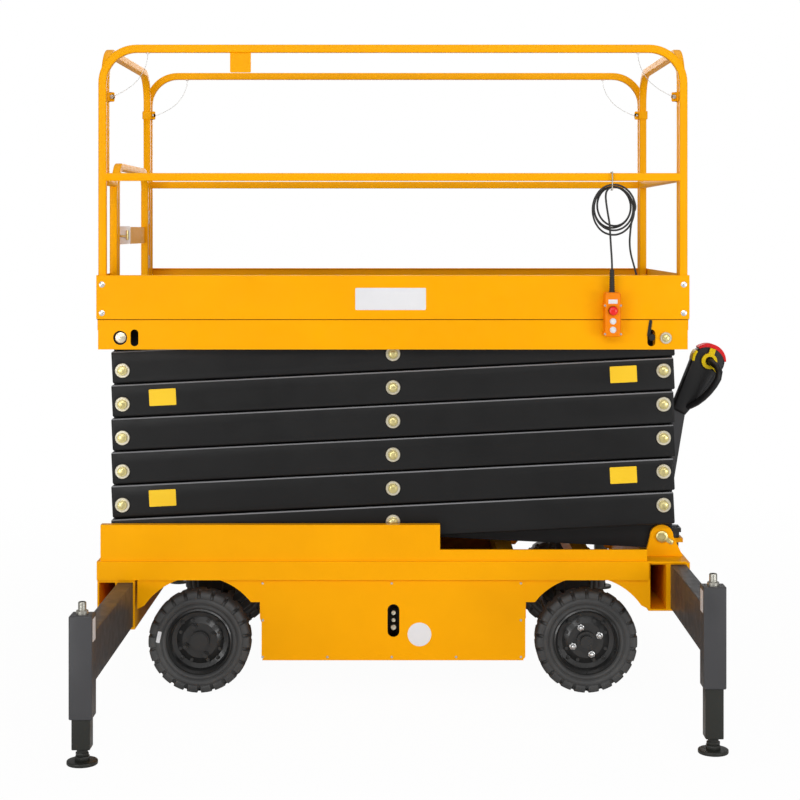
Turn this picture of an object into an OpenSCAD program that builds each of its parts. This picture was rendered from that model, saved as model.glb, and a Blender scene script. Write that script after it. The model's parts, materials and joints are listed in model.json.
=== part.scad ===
// Towable scissor lift on four wheels, parked with its four outriggers out.
// X runs along the machine with the tiller at +X, Y across, floor at Z = 0.

/* [Platform] */
// Length of the platform over its toe boards
platform_long = 2100; // [2080:10:2300]
// Width of the platform over its toe boards
platform_wide = 1140; // [1130:2:1200]
// Height of the toe boards above the platform frame
toe_tall = 155; // [100:5:200]
// Thickness of the toe board plate
toe_plate = 3; // [2:0.5:5]
// Thickness of the deck plate
deck_plate = 4; // [3:1:8]

/* [Guard rails] */
// Side of the square rail tube
rail_tube = 28; // [20:1:30]
// Height of the top rail's centre above the deck
rail_tall = 954; // [800:2:1200]
// Height of the mid rail's centre above the deck
mid_tall = 499; // [400:1:600]
// Centre line radius of the bent rail corners
rail_bend = 122; // [60:1:160]
// Height of the gate's top tube above the deck
gate_tall = 547; // [450:1:700]

/* [Scissor] */
// Number of stages
stages = 6; // [6:1:6]
// Distance along X between the end pins of one arm
pin_span = 1932; // [1900:2:1940]
// Rise of one stage when lowered
stage_rise = 120; // [120:1:130]
// Height of an arm tube
arm_tall = 114; // [90:1:114]
// Width of an arm tube
arm_wide = 55; // [40:1:55]
// Offset of the end pins from the arm's centre line
pin_skew = 12; // [4:1:16]
// Length of an arm beyond its end pins
arm_over = 40; // [34:1:42]
// Radius of the pivot shafts
shaft_r = 20; // [14:1:22]
// Height of the lowest pivot above the floor
pivot_z = 540; // [540:1:560]

/* [Chassis] */
// Height of the bottom edge of the side rails
sill_z = 404; // [400:1:410]
// Height of the side rails
sill_tall = 66; // [60:1:66]
// Distance from the machine's middle to each axle
axle_x = 687; // [680:1:694]
// Outer diameter of the tyres
tyre_od = 362; // [340:2:370]
// Width of a tyre
tyre_wide = 102; // [80:1:104]
// Diameter of the rim's outer lip
rim_od = 234; // [200:1:240]
// Radius of the wheel arches
arch_r = 233; // [225:1:240]
// Distance from a wheel's middle inwards to its kingpin
kingpin_inset = 99; // [95:1:108]
// Plate thickness of the chassis
chassis_plate = 6; // [5:1:7]
// Height of the chassis floor above the ground
pan_z = 118; // [110:1:130]

/* [Outriggers] */
// Width of an outrigger's arm tube
beam_wide = 56; // [48:1:57]
// Height of an outrigger's arm tube
beam_tall = 157; // [120:1:160]
// Distance from the middle to the face of a front leg
leg_reach = 1294; // [1200:1:1350]
// Distance from the middle to the face of a rear leg
rear_reach = 1408; // [1200:1:1450]
// Side of a leg's outer tube
leg_side = 72; // [60:1:76]
// Height of a leg's outer tube
leg_tall = 318; // [280:1:340]
// Diameter of a foot pad
pad_d = 96; // [80:1:120]

/* [Hidden] */
$fn = 48;

yellow = [1.00, 0.70, 0.02];
black = [0.10, 0.10, 0.10];
grey = [0.30, 0.30, 0.31];
rubber = [0.30, 0.30, 0.30];
steel = [0.62, 0.62, 0.60];

// Clearances: a running pin in its bore, a part that slides, and a gap between moving parts
run_fit = 0.1;
slide_fit = 0.3;
gap = 5;

half_wide = platform_wide / 2;
half_long = platform_long / 2;
pin_x = pin_span / 2;

// Scissor
arm_tilt = atan((stage_rise / 2 - pin_skew) / pin_x);
arm_inset = 110;
outer_y = half_wide - arm_inset;
arm_gap = 8;
inner_y = outer_y - arm_gap - arm_wide;
outer_face = outer_y + arm_wide;
washer_r = 25.5;
washer_thick = 5;
head_r = 16;
head_thick = 9;
tube_r = shaft_r + 10;
channel_plate = 7;
flange_y = outer_face + washer_thick + head_thick + gap;
roller_y = [outer_face + gap, half_wide - 2 * channel_plate];
roller_r = 50.5;
top_roller_r = 33.5;
roller_fit = 0.5;
sill_top = sill_z + sill_tall;
channel_z = [sill_top, pivot_z + roller_r + roller_fit + channel_plate];

// Platform heights
top_pin_z = pivot_z + stages * stage_rise;
frame_top = top_pin_z + 67;
frame_tall = 108;
deck_z = frame_top + deck_plate;
top_z = deck_z + rail_tall;
mid_z = deck_z + mid_tall;
toe_top = frame_top + toe_tall;
toe_fold = 18;
toe_bend = 6;

// Lift cylinders, with their lower eye on the first inner arms and their rod on the second
cyl_y = 110;
cyl_from = [1305, 23];
cyl_to = [624, -28];
cyl_r = 42;
rod_r = 22.5;
eye_r = 42;
cyl_bar_r = 25;
lug_half = 28;
lug_plate = 14;
pin_angle = atan(stage_rise / pin_span);

// Wheels
wheel_z = tyre_od / 2;
wheel_y = half_wide - tyre_wide / 2;
spindle_r = 22;
spindle_end = wheel_y + 30;
lip_r = rim_od / 2;
bead_r = lip_r - 8;
bead_half = 33.5;
lip_z = 40.2;
lugs = 22;
lug_gap = [12, 18, 28];

// Chassis
pan_plate = 4;
cover_plate = 4;
cover_y = [half_wide - 2 * cover_plate, half_wide - cover_plate];
sill_y = [half_wide - 52, half_wide + 8];
member_wide = 60;
bulkhead_x = 438;
cover_half = 471;
cover_slot = [44, 118];
chassis_rear = -half_long + 3;
front_lip = half_long - 11;
channel_end = 167;
pump_half = [400, half_wide - 170];
pump_tall = 208;

// Axles and steering
kingpin_y = wheel_y - kingpin_inset;
kingpin_r = 18;
knuckle_r = 32;
axle_half = 30;
hanger = [180, 192];
yoke_half = 64;
yoke_plate = 20;
steer_arm = 125;
crank_arm = 102;
link_half = 18;
link_pin_r = 8;
steer_plate_z = [wheel_z + 69, wheel_z + 79];
link_z = [steer_plate_z[1] + 2, steer_plate_z[1] + 16];
crank_z = [link_z[1] + 2, link_z[1] + 12];

// Sleeve boxes along X, and the outriggers' arms in them: the right one, then the left one
sleeve_wall = 7;
sleeve_lip = 12;
sleeve_front = [axle_x + 218, half_long + 2];
sleeve_rear = [chassis_rear, -axle_x - 227];
front_arm_x = [sleeve_front[1] - sleeve_lip - beam_wide / 2, sleeve_front[0] + sleeve_wall + beam_wide / 2];
rear_arm_x = [sleeve_rear[1] - sleeve_wall - beam_wide / 2, sleeve_rear[0] + sleeve_wall + beam_wide / 2];
front_arm_z = 300;
rear_arm_z = 236;
arm_inner_y = -40;
leg_above = 68;
leg_cap = 8;
jack_side = leg_side - 15;
jack_fit = 0.6;
jack_inside = 130;
pad_thick = 12;
neck_r = 17;
neck_top = 49;
crank_r = 12;
crank_tall = 26;

// Tiller
// Distance of the column from the sleeve box and from the arms' ends, whichever is further forward
column_gap = [26, 72];
column_x = max(sleeve_front[1] + column_gap[0], pin_x + arm_over + column_gap[1]);
column_r = 22;
bearing_z = [312, 440];
bearing_tall = 16;
fork_z = 480;
tiller_pivot = [column_x - 46, 0, 530];
tiller_lean = 9.5;
tiller_pin_r = 10;
shaft_wide = 46;
shaft_deep = 44;
shaft_long = 430;
head_lean = 17.5;
head_half = 34;
nose = [14, 213];
nose_r = 62;
cap_thick = 5;
grip_r = 13;
// Centre line of the left grip, from the nose round to the neck
grip_route = [
  [12, 30, 214], [22, 58, 213], [40, 86, 208], [56, 102, 192], [62, 106, 168], [61, 102, 138],
  [57, 92, 108], [50, 76, 78], [40, 56, 50], [28, 34, 28], [16, 14, 12]
];

// The frame's origin is in the middle of the footprint, from the rear pads to the tiller's cap
tiller_tip = tiller_pivot[0] + shaft_long * sin(tiller_lean) + nose[0] * cos(tiller_lean + head_lean)
  + nose[1] * sin(tiller_lean + head_lean) + nose_r + cap_thick;
rear_tip = rear_arm_x[1] - pad_d / 2;
frame_x = -(tiller_tip + rear_tip) / 2;

module placed() translate([frame_x, 0, 0]) children();
module both_sides() { children(); mirror([0, 1, 0]) children(); }
module block(low, high) translate(low) cube(high - low);
module bar_y(x, z, r, y) translate([x, y[0], z]) rotate([-90, 0, 0]) cylinder(r = r, h = y[1] - y[0]);
module bar_z(x, y, r, z) translate([x, y, z[0]]) cylinder(r = r, h = z[1] - z[0]);

// Flat plates from an outline: in the XZ plane between two values of Y, and in the XY plane between two of Z
module plate_y(y) translate([0, y[1], 0]) rotate([90, 0, 0]) linear_extrude(y[1] - y[0]) children();
module plate_z(z) translate([0, 0, z[0]]) linear_extrude(z[1] - z[0]) children();

// Round bar along a route of points, which nowhere runs along X
function unit(v) = v / norm(v);
function heading(p, i) = unit(p[min(i + 1, len(p) - 1)] - p[max(i - 1, 0)]);
function ring(c, d, r, sides) =
  let (u = unit(cross([1, 0, 0], d)), v = cross(d, u))
  [for (k = [0:sides - 1]) c + r * cos(360 * k / sides) * u + r * sin(360 * k / sides) * v];
function quad(a, b, c, d) = [[a, b, c], [a, c, d]];
module routed(p, r, sides) {
  last = (len(p) - 1) * sides;
  around = [for (k = [0:sides - 1]) [k, (k + 1) % sides]];
  polyhedron(
    [for (i = [0:len(p) - 1]) each ring(p[i], heading(p, i), r, sides)],
    [
      [for (k = [0:sides - 1]) k],
      [for (k = [sides - 1:-1:0]) last + k],
      for (i = [0:sides:last - 1], k = around)
        each quad(i + k[0], i + sides + k[0], i + sides + k[1], i + k[1])
    ]
  );
}

// Inverted U of square tube in the XZ plane, on its centre line
module hoop(half, low, high, bend, t) {
  for (s = [-1, 1]) block([s * half - t / 2, -t / 2, low], [s * half + t / 2, t / 2, high - bend]);
  block([bend - half, -t / 2, high - t / 2], [half - bend, t / 2, high + t / 2]);
  for (m = [0, 1]) mirror([m, 0, 0]) translate([half - bend, 0, high - bend]) rotate([90, 0, 0])
    rotate_extrude(angle = 90) translate([bend - t / 2, -t / 2]) square(t);
}

// Chassis
module sill() {
  block([chassis_rear, sill_y[0], sill_top - chassis_plate], [front_lip, sill_y[1], sill_top]);
  block([chassis_rear, sill_y[1] - chassis_plate, sill_z], [sleeve_front[0], sill_y[1], sill_top]);
  block([chassis_rear, sill_y[0], sill_z], [sleeve_front[0], sill_y[1], sill_z + chassis_plate]);
}

module roller_channel() {
  x = [chassis_rear + 12, channel_end];
  y = [half_wide - 50, half_wide];
  block([x[0], y[1] - channel_plate, channel_z[0]], [x[1], y[1], channel_z[1]]);
  block([x[0], y[0], channel_z[0]], [x[1], y[1], pivot_z - roller_r - roller_fit]);
  block([x[0], flange_y, channel_z[1] - channel_plate], [x[1], y[1], channel_z[1]]);
}

module pivot_ear() {
  ear_r = 42;
  ear_foot = [60, 76];
  y = [inner_y + arm_wide + 4, inner_y + arm_wide + 20];
  plate_y(y) {
    translate([pin_x, pivot_z]) circle(r = ear_r);
    polygon([
      [pin_x - ear_r, pivot_z], [pin_x - ear_foot[0], sill_top], [pin_x + ear_foot[1], sill_top], [pin_x + ear_r, pivot_z]
    ]);
  }
  bar_y(pin_x, pivot_z, shaft_r, [inner_y - 7, y[1] + 8]);
}

module chassis_frame() color(yellow) placed() {
  side_bar = [12, 40];
  column_half = 34;
  both_sides() {
    sill();
    roller_channel();
    pivot_ear();
    block([channel_end, half_wide - side_bar[0], sill_top], [900, half_wide, sill_top + side_bar[1]]);
  }
  block([sleeve_front[0], -sill_y[0], sill_top - chassis_plate], [front_lip, sill_y[0], sill_top]);
  for (x = [chassis_rear, -axle_x - axle_half, -bulkhead_x - 2, bulkhead_x - 58, axle_x - axle_half])
    block([x, -sill_y[0], sill_z], [x + member_wide, sill_y[0], sill_top]);
  wall = half_wide - 3 * cover_plate;
  for (s = [-1, 1])
    block([s * bulkhead_x - pan_plate / 2, -wall, pan_z], [s * bulkhead_x + pan_plate / 2, wall, sill_z]);
  block([pan_plate / 2 - bulkhead_x, -wall, pan_z], [bulkhead_x - pan_plate / 2, wall, pan_z + pan_plate]);
  for (z = bearing_z) difference() {
    block([sleeve_front[1], -column_half, z], [column_x + column_half, column_half, z + bearing_tall]);
    bar_z(column_x, 0, column_r + run_fit, [z - 1, z + bearing_tall + 1]);
  }
}

// Sleeve box at one end, with a through hole for each arm
module sleeve_box(x, z, holes, hole_z) difference() {
  block([x[0], -half_wide + cover_plate, z[0]], [x[1], half_wide - cover_plate, z[1]]);
  for (h = holes) block([h - beam_wide / 2 - slide_fit, -half_wide, hole_z - slide_fit],
    [h + beam_wide / 2 + slide_fit, half_wide, hole_z + beam_tall + slide_fit]);
}

module outrigger_sleeves() color(yellow) placed() {
  sleeve_box(sleeve_front, [front_arm_z - sleeve_wall, sill_top - chassis_plate], front_arm_x, front_arm_z);
  sleeve_box(sleeve_rear, [rear_arm_z - 9, sill_z], rear_arm_x, rear_arm_z);
}

module cover_panels() color(yellow) placed() both_sides() plate_y(cover_y) difference() {
  union() {
    translate([-cover_half, pan_z]) square([2 * cover_half, sill_z - pan_z]);
    translate([-axle_x, sill_z - 80]) square([2 * axle_x, 80]);
    for (m = [0, 1]) mirror([m, 0])
      polygon([[axle_x, sill_z], [sleeve_front[0], sill_z], [sleeve_front[0], front_arm_z]]);
  }
  for (s = [-1, 1]) translate([s * axle_x, wheel_z]) circle(r = arch_r);
  translate([-20, 200]) square(cover_slot);
}

module power_unit() color(grey) placed()
  block(concat(-pump_half, pan_z + pan_plate), concat(pump_half, pan_z + pan_plate + pump_tall));

// Axles and steering
module axle_hanger(x) block([x - 45, hanger[0], wheel_z + axle_half], [x + 45, hanger[1], sill_z]);

module rear_axle() color(black) placed() {
  block([-axle_x - axle_half, -kingpin_y, wheel_z - axle_half],
    [-axle_x + axle_half, kingpin_y, wheel_z + axle_half]);
  both_sides() {
    bar_y(-axle_x, wheel_z, spindle_r, [kingpin_y, spindle_end]);
    axle_hanger(-axle_x);
  }
}

module front_axle() color(black) placed() {
  beam_end = kingpin_y - 2 * axle_half;
  x = [axle_x - axle_half, axle_x + axle_half];
  block([x[0], -beam_end, wheel_z - axle_half], [x[1], beam_end, wheel_z + axle_half]);
  both_sides() {
    axle_hanger(axle_x);
    difference() {
      union() {
        block([x[0], beam_end, wheel_z - yoke_half], [x[1], beam_end + 16, wheel_z + yoke_half]);
        for (z = [wheel_z - yoke_half, wheel_z + yoke_half - yoke_plate]) {
          block([x[0], beam_end, z], [x[1], kingpin_y, z + yoke_plate]);
          bar_z(axle_x, kingpin_y, axle_half, [z, z + yoke_plate]);
        }
      }
      bar_z(axle_x, kingpin_y, kingpin_r + run_fit, [wheel_z - yoke_half - 1, wheel_z + yoke_half + 1]);
    }
  }
}

// Flat steering arm with round ends, between two points of the XY plane that share X or Y
module steering_arm(a, b, r) {
  translate(a) circle(r = r);
  translate(b) circle(r = link_half);
  along_x = a[0] != b[0];
  low = [min(a[0], b[0]), min(a[1], b[1])];
  translate(low - (along_x ? [0, link_half] : [link_half, 0]))
    square(along_x ? [abs(a[0] - b[0]), 2 * link_half] : [2 * link_half, abs(a[1] - b[1])]);
}

// Knuckle on the side of +Y, with its kingpin, spindle and steering plate
module knuckle() {
  bar_z(axle_x, kingpin_y, kingpin_r, [wheel_z - yoke_half - 6, steer_plate_z[1]]);
  bar_z(axle_x, kingpin_y, knuckle_r, [wheel_z - 42, wheel_z + 42]);
  bar_y(axle_x, wheel_z, spindle_r, [kingpin_y + 10, spindle_end]);
  plate_z(steer_plate_z) steering_arm([axle_x, kingpin_y], [axle_x - steer_arm, kingpin_y], axle_half);
  bar_z(axle_x - steer_arm, kingpin_y, link_pin_r, [steer_plate_z[0] - 23, steer_plate_z[0]]);
}

module knuckle_right() color(black) placed() mirror([0, 1, 0]) knuckle();

module knuckle_left() color(black) placed() {
  knuckle();
  end = [axle_x, kingpin_y - crank_arm];
  plate_z(steer_plate_z) steering_arm([axle_x, kingpin_y], end, axle_half);
  bar_z(end[0], end[1], link_pin_r, [steer_plate_z[1], link_z[1] + 1]);
}

module rod_eye(x, y, z) difference() {
  bar_z(x, y, 2 * link_pin_r, z);
  bar_z(x, y, link_pin_r + run_fit, [z[0] - 1, z[1] + 1]);
}

module tie_rod() color(black) placed() {
  x = axle_x - steer_arm;
  z = [steer_plate_z[0] - 21, steer_plate_z[0] - 3];
  both_sides() rod_eye(x, kingpin_y, z);
  bar_y(x, (z[0] + z[1]) / 2, link_pin_r, [-kingpin_y + 14, kingpin_y - 14]);
}

module drag_link() color(black) placed() {
  a = [column_x, -crank_arm];
  b = [axle_x, kingpin_y - crank_arm];
  rod_eye(a[0], a[1], link_z);
  rod_eye(b[0], b[1], link_z);
  long = norm(b - a);
  translate([a[0], a[1], (link_z[0] + link_z[1]) / 2]) rotate([0, 0, atan2(b[1] - a[1], b[0] - a[0])])
    translate([14, 0, 0]) rotate([0, 90, 0]) cylinder(r = 6, h = long - 28);
}

// Wheels
module tyre(x, y) color(rubber) placed() translate([x, y, wheel_z]) rotate([90, 0, 0]) difference() {
  w = tyre_wide / 2;
  rotate_extrude() polygon([
    [bead_r, -bead_half], [lip_r + 1, -lip_z], [lip_r + 6, -w + 3], [wheel_z - 26, -w], [wheel_z - 6, -w + 5],
    [wheel_z, -w + 14], [wheel_z, w - 14], [wheel_z - 6, w - 5], [wheel_z - 26, w], [lip_r + 6, w - 3],
    [lip_r + 1, lip_z], [bead_r, bead_half]
  ]);
  for (i = [1:lugs], m = [0, 1]) mirror([0, 0, m]) rotate([0, 0, (i + m / 2) * 360 / lugs])
    translate([wheel_z - lug_gap[0], -lug_gap[1] / 2, w - lug_gap[2]]) cube([20, lug_gap[1], 40]);
}

module rim(x, y, out, capped) color(black) placed() translate([x, y, wheel_z]) rotate([90 * out, 0, 0]) {
  difference() {
    rotate_extrude() polygon([
      [spindle_r + run_fit, -30], [spindle_r + 24, -30], [spindle_r + 24, 4], [62, 4], [84, -6], [96, -6],
      [100, -38], [bead_r - 1, -38], [bead_r, -34], [bead_r, 34], [lip_r, 40], [lip_r - 6, 43],
      [104, 34], [100, 8], [84, 4], [62, 16], [spindle_r + run_fit, 16]
    ]);
    for (i = [0:3]) rotate([0, 0, i * 90 + 45]) translate([88, 0, -20]) cylinder(r = 4, h = 40);
  }
  for (i = [0:3]) rotate([0, 0, i * 90 + 22]) translate([capped ? 51 : 54, 0, 16]) {
    cylinder(r = 12, h = 10, $fn = 6);
    cylinder(r = 7, h = 20);
  }
  for (i = [0:7]) rotate([0, 0, i * 45 + 22]) translate([75, 0, 8]) cylinder(r = 7, h = 6, $fn = 6);
  translate([0, 0, 30.2]) cylinder(r = capped ? 22 : 30, h = capped ? 16 : 4);
  translate([0, 0, 16]) difference() {
    cylinder(r = 34, h = 14.2);
    translate([0, 0, -1]) cylinder(r = spindle_r + run_fit, h = 15.2);
  }
}

module tyre_front_right() tyre(axle_x, -wheel_y);
module tyre_front_left() tyre(axle_x, wheel_y);
module tyre_rear_right() tyre(-axle_x, -wheel_y);
module tyre_rear_left() tyre(-axle_x, wheel_y);
module rim_front_right() rim(axle_x, -wheel_y, 1, true);
module rim_front_left() rim(axle_x, wheel_y, -1, true);
module rim_rear_right() rim(-axle_x, -wheel_y, 1, false);
module rim_rear_left() rim(-axle_x, wheel_y, -1, false);

// Tiller
module tiller_column() color(black) placed() {
  pin_end = [column_x, -crank_arm];
  bar_z(column_x, 0, column_r, [crank_z[0], fork_z + 20]);
  bar_z(column_x, 0, column_r + 3, [bearing_z[1] + bearing_tall + slide_fit, fork_z]);
  plate_z(crank_z) steering_arm([column_x, 0], pin_end, 34);
  bar_z(pin_end[0], pin_end[1], link_pin_r, [link_z[0] - 1, crank_z[0]]);
  block([tiller_pivot[0] - column_r, -40, fork_z], [column_x + 26, 40, fork_z + 16]);
  both_sides() plate_y([shaft_wide / 2 + 2, shaft_wide / 2 + 14]) {
    translate([tiller_pivot[0] - column_r, fork_z + 8]) square([2 * column_r, tiller_pivot[2] - fork_z - 8]);
    translate([tiller_pivot[0], tiller_pivot[2]]) circle(r = column_r);
  }
  bar_y(tiller_pivot[0], tiller_pivot[2], tiller_pin_r, [-44, 44]);
}

module on_tiller() placed() translate(tiller_pivot) rotate([0, tiller_lean, 0]) children();
module on_head() on_tiller() translate([0, 0, shaft_long]) rotate([0, head_lean, 0]) children();
module shaft_bar() block([-shaft_deep / 2, -shaft_wide / 2, 0], [shaft_deep / 2, shaft_wide / 2, shaft_long]);

module tiller_shaft() color(black) on_tiller() difference() {
  union() {
    bar_y(0, 0, shaft_deep / 2, [-shaft_wide / 2, shaft_wide / 2]);
    shaft_bar();
  }
  bar_y(0, 0, tiller_pin_r + run_fit, [-shaft_wide, shaft_wide]);
}

// Head: a neck that widens into a round nose, with a closed grip on each side
module tiller_head() color(black) difference() {
  on_head() {
    plate_y([-head_half, head_half]) {
      translate(nose) circle(r = nose_r);
      polygon([[-28, -14], [28, -14], [44, 60], nose + [46, -42], nose - [nose_r, 6]]);
    }
    both_sides() routed(grip_route, grip_r, 12);
  }
  on_tiller() shaft_bar();
}

// Thumb levers: a hub with two wings on each side of the nose
module thumb_lever() difference() {
  union() {
    translate(nose) circle(r = 30);
    for (a = [-20, 100]) translate(nose) rotate(a) translate([18, -11]) square([32, 22]);
  }
  translate([grip_route[0][0] + 3.6, grip_route[0][2]]) circle(r = grip_r + 4);
}
module tiller_controls() color(yellow) on_head() both_sides()
  plate_y([head_half, head_half + 12]) thumb_lever();

module tiller_cap() color("red") on_head() translate([nose[0], 0, nose[1]]) rotate([90, 0, 0]) rotate(5)
  rotate_extrude(angle = 100) translate([nose_r, -head_half + 4]) square([cap_thick, 2 * head_half - 8]);

// Scissor arms, drawn about the centre pin of their stage
module at_stage(k) placed() translate([0, 0, pivot_z + (k - 0.5) * stage_rise]) children();

// Bar of one arm: rising towards +X with slope 1, towards -X with slope -1
module arm_bar(y, slope) rotate([0, -slope * arm_tilt, 0])
  block([-pin_x - arm_over, y, -arm_tall / 2], [pin_x + arm_over, y + arm_wide, arm_tall / 2]);

module pin_cap(x, z) {
  bar_y(x, z, washer_r, [outer_face, outer_face + washer_thick]);
  bar_y(x, z, head_r, [outer_face + washer_thick, outer_face + washer_thick + head_thick]);
}

module outer_arms(k) color(black) at_stage(k) {
  ends = [[-pin_x, -stage_rise / 2], [pin_x, stage_rise / 2]];
  both_sides() {
    arm_bar(outer_y, 1);
    bar_y(0, 0, shaft_r, [inner_y - 2, outer_y]);
    pin_cap(0, 0);
    if (k > 1) pin_cap(ends[0][0], ends[0][1]);
    if (k < stages) pin_cap(ends[1][0], ends[1][1]);
    if (k == stages) bar_y(ends[1][0], ends[1][1], shaft_r, [outer_face, half_wide + chassis_plate]);
    if (k == 1) {
      bar_y(ends[0][0], ends[0][1], shaft_r, [outer_face, roller_y[1]]);
      bar_y(ends[0][0], ends[0][1], roller_r, roller_y);
    }
  }
  for (e = ends) bar_y(e[0], e[1], shaft_r, [-outer_y, outer_y]);
}

module inner_arms(k) color(black) at_stage(k) {
  top = [-pin_x, stage_rise / 2];
  low = [pin_x, -stage_rise / 2];
  difference() {
    union() {
      both_sides() arm_bar(inner_y, -1);
      for (e = [top, low]) bar_y(e[0], e[1], tube_r, [-inner_y, inner_y]);
    }
    bored = k == stages ? [[0, 0], low] : [[0, 0], low, top];
    for (e = bored) bar_y(e[0], e[1], shaft_r + run_fit, [-outer_y, outer_y]);
  }
  if (k == stages) both_sides() {
    bar_y(top[0], top[1], shaft_r, [outer_y - arm_gap, roller_y[1]]);
    bar_y(top[0], top[1], top_roller_r, roller_y);
  }
  if (k == 1) cylinder_foot();
  if (k == 2) cylinder_lugs();
}

// Point on an inner arm, given along its pin line from the lower pin and square to it
function on_inner(s, n) = [
  pin_x - s * cos(pin_angle) + n * sin(pin_angle),
  -stage_rise / 2 + s * sin(pin_angle) + n * cos(pin_angle)
];

module cylinder_foot() {
  a = on_inner(cyl_from[0], cyl_from[1]);
  bar_y(a[0], a[1], cyl_bar_r, [-inner_y, inner_y]);
}

module cylinder_lugs() {
  b = on_inner(cyl_to[0], cyl_to[1]);
  c = on_inner(cyl_to[0] + 68, cyl_to[1] + 53);
  bar_y(c[0], c[1], cyl_bar_r, [-inner_y, inner_y]);
  both_sides() for (y = [cyl_y - lug_half - lug_plate, cyl_y + lug_half]) plate_y([y, y + lug_plate]) {
    translate(b) circle(r = 30);
    translate(c) circle(r = 34);
    polygon([b + [-20, -22], b + [22, 20], c + [24, 24], c + [-24, -24]]);
  }
}

module inner_arms_1() inner_arms(1);
module inner_arms_2() inner_arms(2);
module inner_arms_3() inner_arms(3);
module inner_arms_4() inner_arms(4);
module inner_arms_5() inner_arms(5);
module inner_arms_6() inner_arms(6);
module outer_arms_1() outer_arms(1);
module outer_arms_2() outer_arms(2);
module outer_arms_3() outer_arms(3);
module outer_arms_4() outer_arms(4);
module outer_arms_5() outer_arms(5);
module outer_arms_6() outer_arms(6);

// Lift cylinders, drawn along +X from their lower eye
cyl_a = on_inner(cyl_from[0], cyl_from[1]) + [0, pivot_z + stage_rise / 2];
cyl_b = on_inner(cyl_to[0], cyl_to[1]) + [0, pivot_z + 1.5 * stage_rise];
cyl_long = norm(cyl_b - cyl_a);
barrel_long = 555;
cyl_tilt = atan2(cyl_b[1] - cyl_a[1], cyl_b[0] - cyl_a[0]);
module along_cylinder() placed() translate([cyl_a[0], 0, cyl_a[1]]) rotate([0, -cyl_tilt, 0])
  both_sides() translate([0, cyl_y, 0]) children();
module rod_x(r, x) translate([x[0], 0, 0]) rotate([0, 90, 0]) cylinder(r = r, h = x[1] - x[0]);

module cylinder_barrels() color(grey) along_cylinder() difference() {
  union() {
    rod_x(cyl_r, [30, barrel_long]);
    bar_y(0, 0, eye_r, [-28, 28]);
  }
  bar_y(0, 0, cyl_bar_r + run_fit, [-50, 50]);
  rod_x(rod_r + run_fit, [70, barrel_long + 1]);
}

module cylinder_rods() color(steel) along_cylinder() {
  rod_x(rod_r, [85, cyl_long - 20]);
  bar_y(cyl_long, 0, 30, [gap - lug_half, lug_half - gap]);
}

// Platform
frame_slot = [28, 60];
slot_x = half_long - 135;
module slot_outline(size) {
  r = size[0] / 2;
  translate([-r, r - size[1] / 2]) square([2 * r, size[1] - 2 * r]);
  for (s = [-1, 1]) translate([0, s * (size[1] / 2 - r)]) circle(r = r);
}

module platform_frame() color(yellow) placed() {
  web = 6;
  z = [frame_top - frame_tall, frame_top];
  x = half_long - web;
  y = half_wide - 2;
  both_sides() difference() {
    union() {
      block([-x, y - web, z[0]], [x, y, z[1]]);
      for (e = [z[0], top_pin_z + top_roller_r + roller_fit])
        block([-x, flange_y, e], [x, y, e + channel_plate]);
      block([pin_x - 40, outer_face + 10, z[0]], [pin_x + 40, outer_face + 22, z[1]]);
    }
    bar_y(pin_x, top_pin_z, shaft_r + run_fit, [outer_face, half_wide + 9]);
    bar_y(-pin_x, top_pin_z, 25, [y - 20, y + 1]);
    for (s = [-1, 1]) plate_y([y - web - 1, y + 1]) translate([s * slot_x, top_pin_z]) slot_outline(frame_slot);
  }
  for (s = [-1, 1]) block([s * x - 3, -y + web, z[1] - 40], [s * x + 3, y - web, z[1]]);
  cross_y = inner_y - 17;
  for (i = [-3:3]) block([i * 270 - 20, -cross_y, z[1] - 30], [i * 270 + 20, cross_y, z[1]]);
}

// Side toe board's outline across the machine: a plate with its top edge folded inwards
module toe_profile() difference() {
  rounded_corner(toe_fold, toe_tall, toe_bend);
  translate([-1, -1]) rounded_corner(toe_fold + 1 - toe_plate, toe_tall + 1 - toe_plate, toe_bend - toe_plate);
}
module rounded_corner(w, h, r) {
  square([w - r, h]);
  square([w, h - r]);
  translate([w - r, h - r]) circle(r = r);
}

// Guard rails
rail_y = half_wide - toe_plate - rail_tube / 2;
post_x = half_long - 20;
end_y = rail_y - 51;
latch_y = -half_wide + 252;
gland = [half_long - 170, -half_wide + 29, toe_top - 126];
gland_r = 8;

// Deck, notched round the posts and bored for the cable's gland
module platform_deck() color(grey) placed() plate_z([frame_top, deck_z]) difference() {
  inside = [half_long - toe_plate, half_wide - toe_plate];
  notch = rail_tube / 2 + slide_fit;
  square(2 * inside, center = true);
  for (sx = [-1, 1], sy = [-1, 1]) {
    translate([sx * (post_x + notch), sy * (rail_y + notch)]) square(4 * notch, center = true);
    translate([sx * (post_x + notch), sy * end_y]) square([4 * notch, 2 * notch], center = true);
  }
  translate([-post_x - notch, latch_y]) square([4 * notch, 2 * notch], center = true);
  translate([gland[0], gland[1]]) circle(r = gland_r + slide_fit);
}

module toe_boards() color(yellow) placed() {
  z = [frame_top, toe_top];
  fold_x = post_x - rail_tube / 2;
  inside = half_wide - toe_plate;
  both_sides() {
    translate([-fold_x, half_wide - toe_fold, z[0]]) rotate([90, 0, 90])
      linear_extrude(2 * fold_x) toe_profile();
    for (x = [[-half_long, -fold_x], [fold_x, half_long]]) block([x[0], inside, z[0]], [x[1], half_wide, z[1]]);
  }
  block([half_long - toe_plate, -inside, z[0]], [half_long, inside, z[1]]);
  for (y = [[-inside, latch_y + 18], [end_y + rail_tube / 2, inside]])
    block([-half_long, y[0], z[0]], [-half_long + toe_plate, y[1], z[1]]);
}

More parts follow.
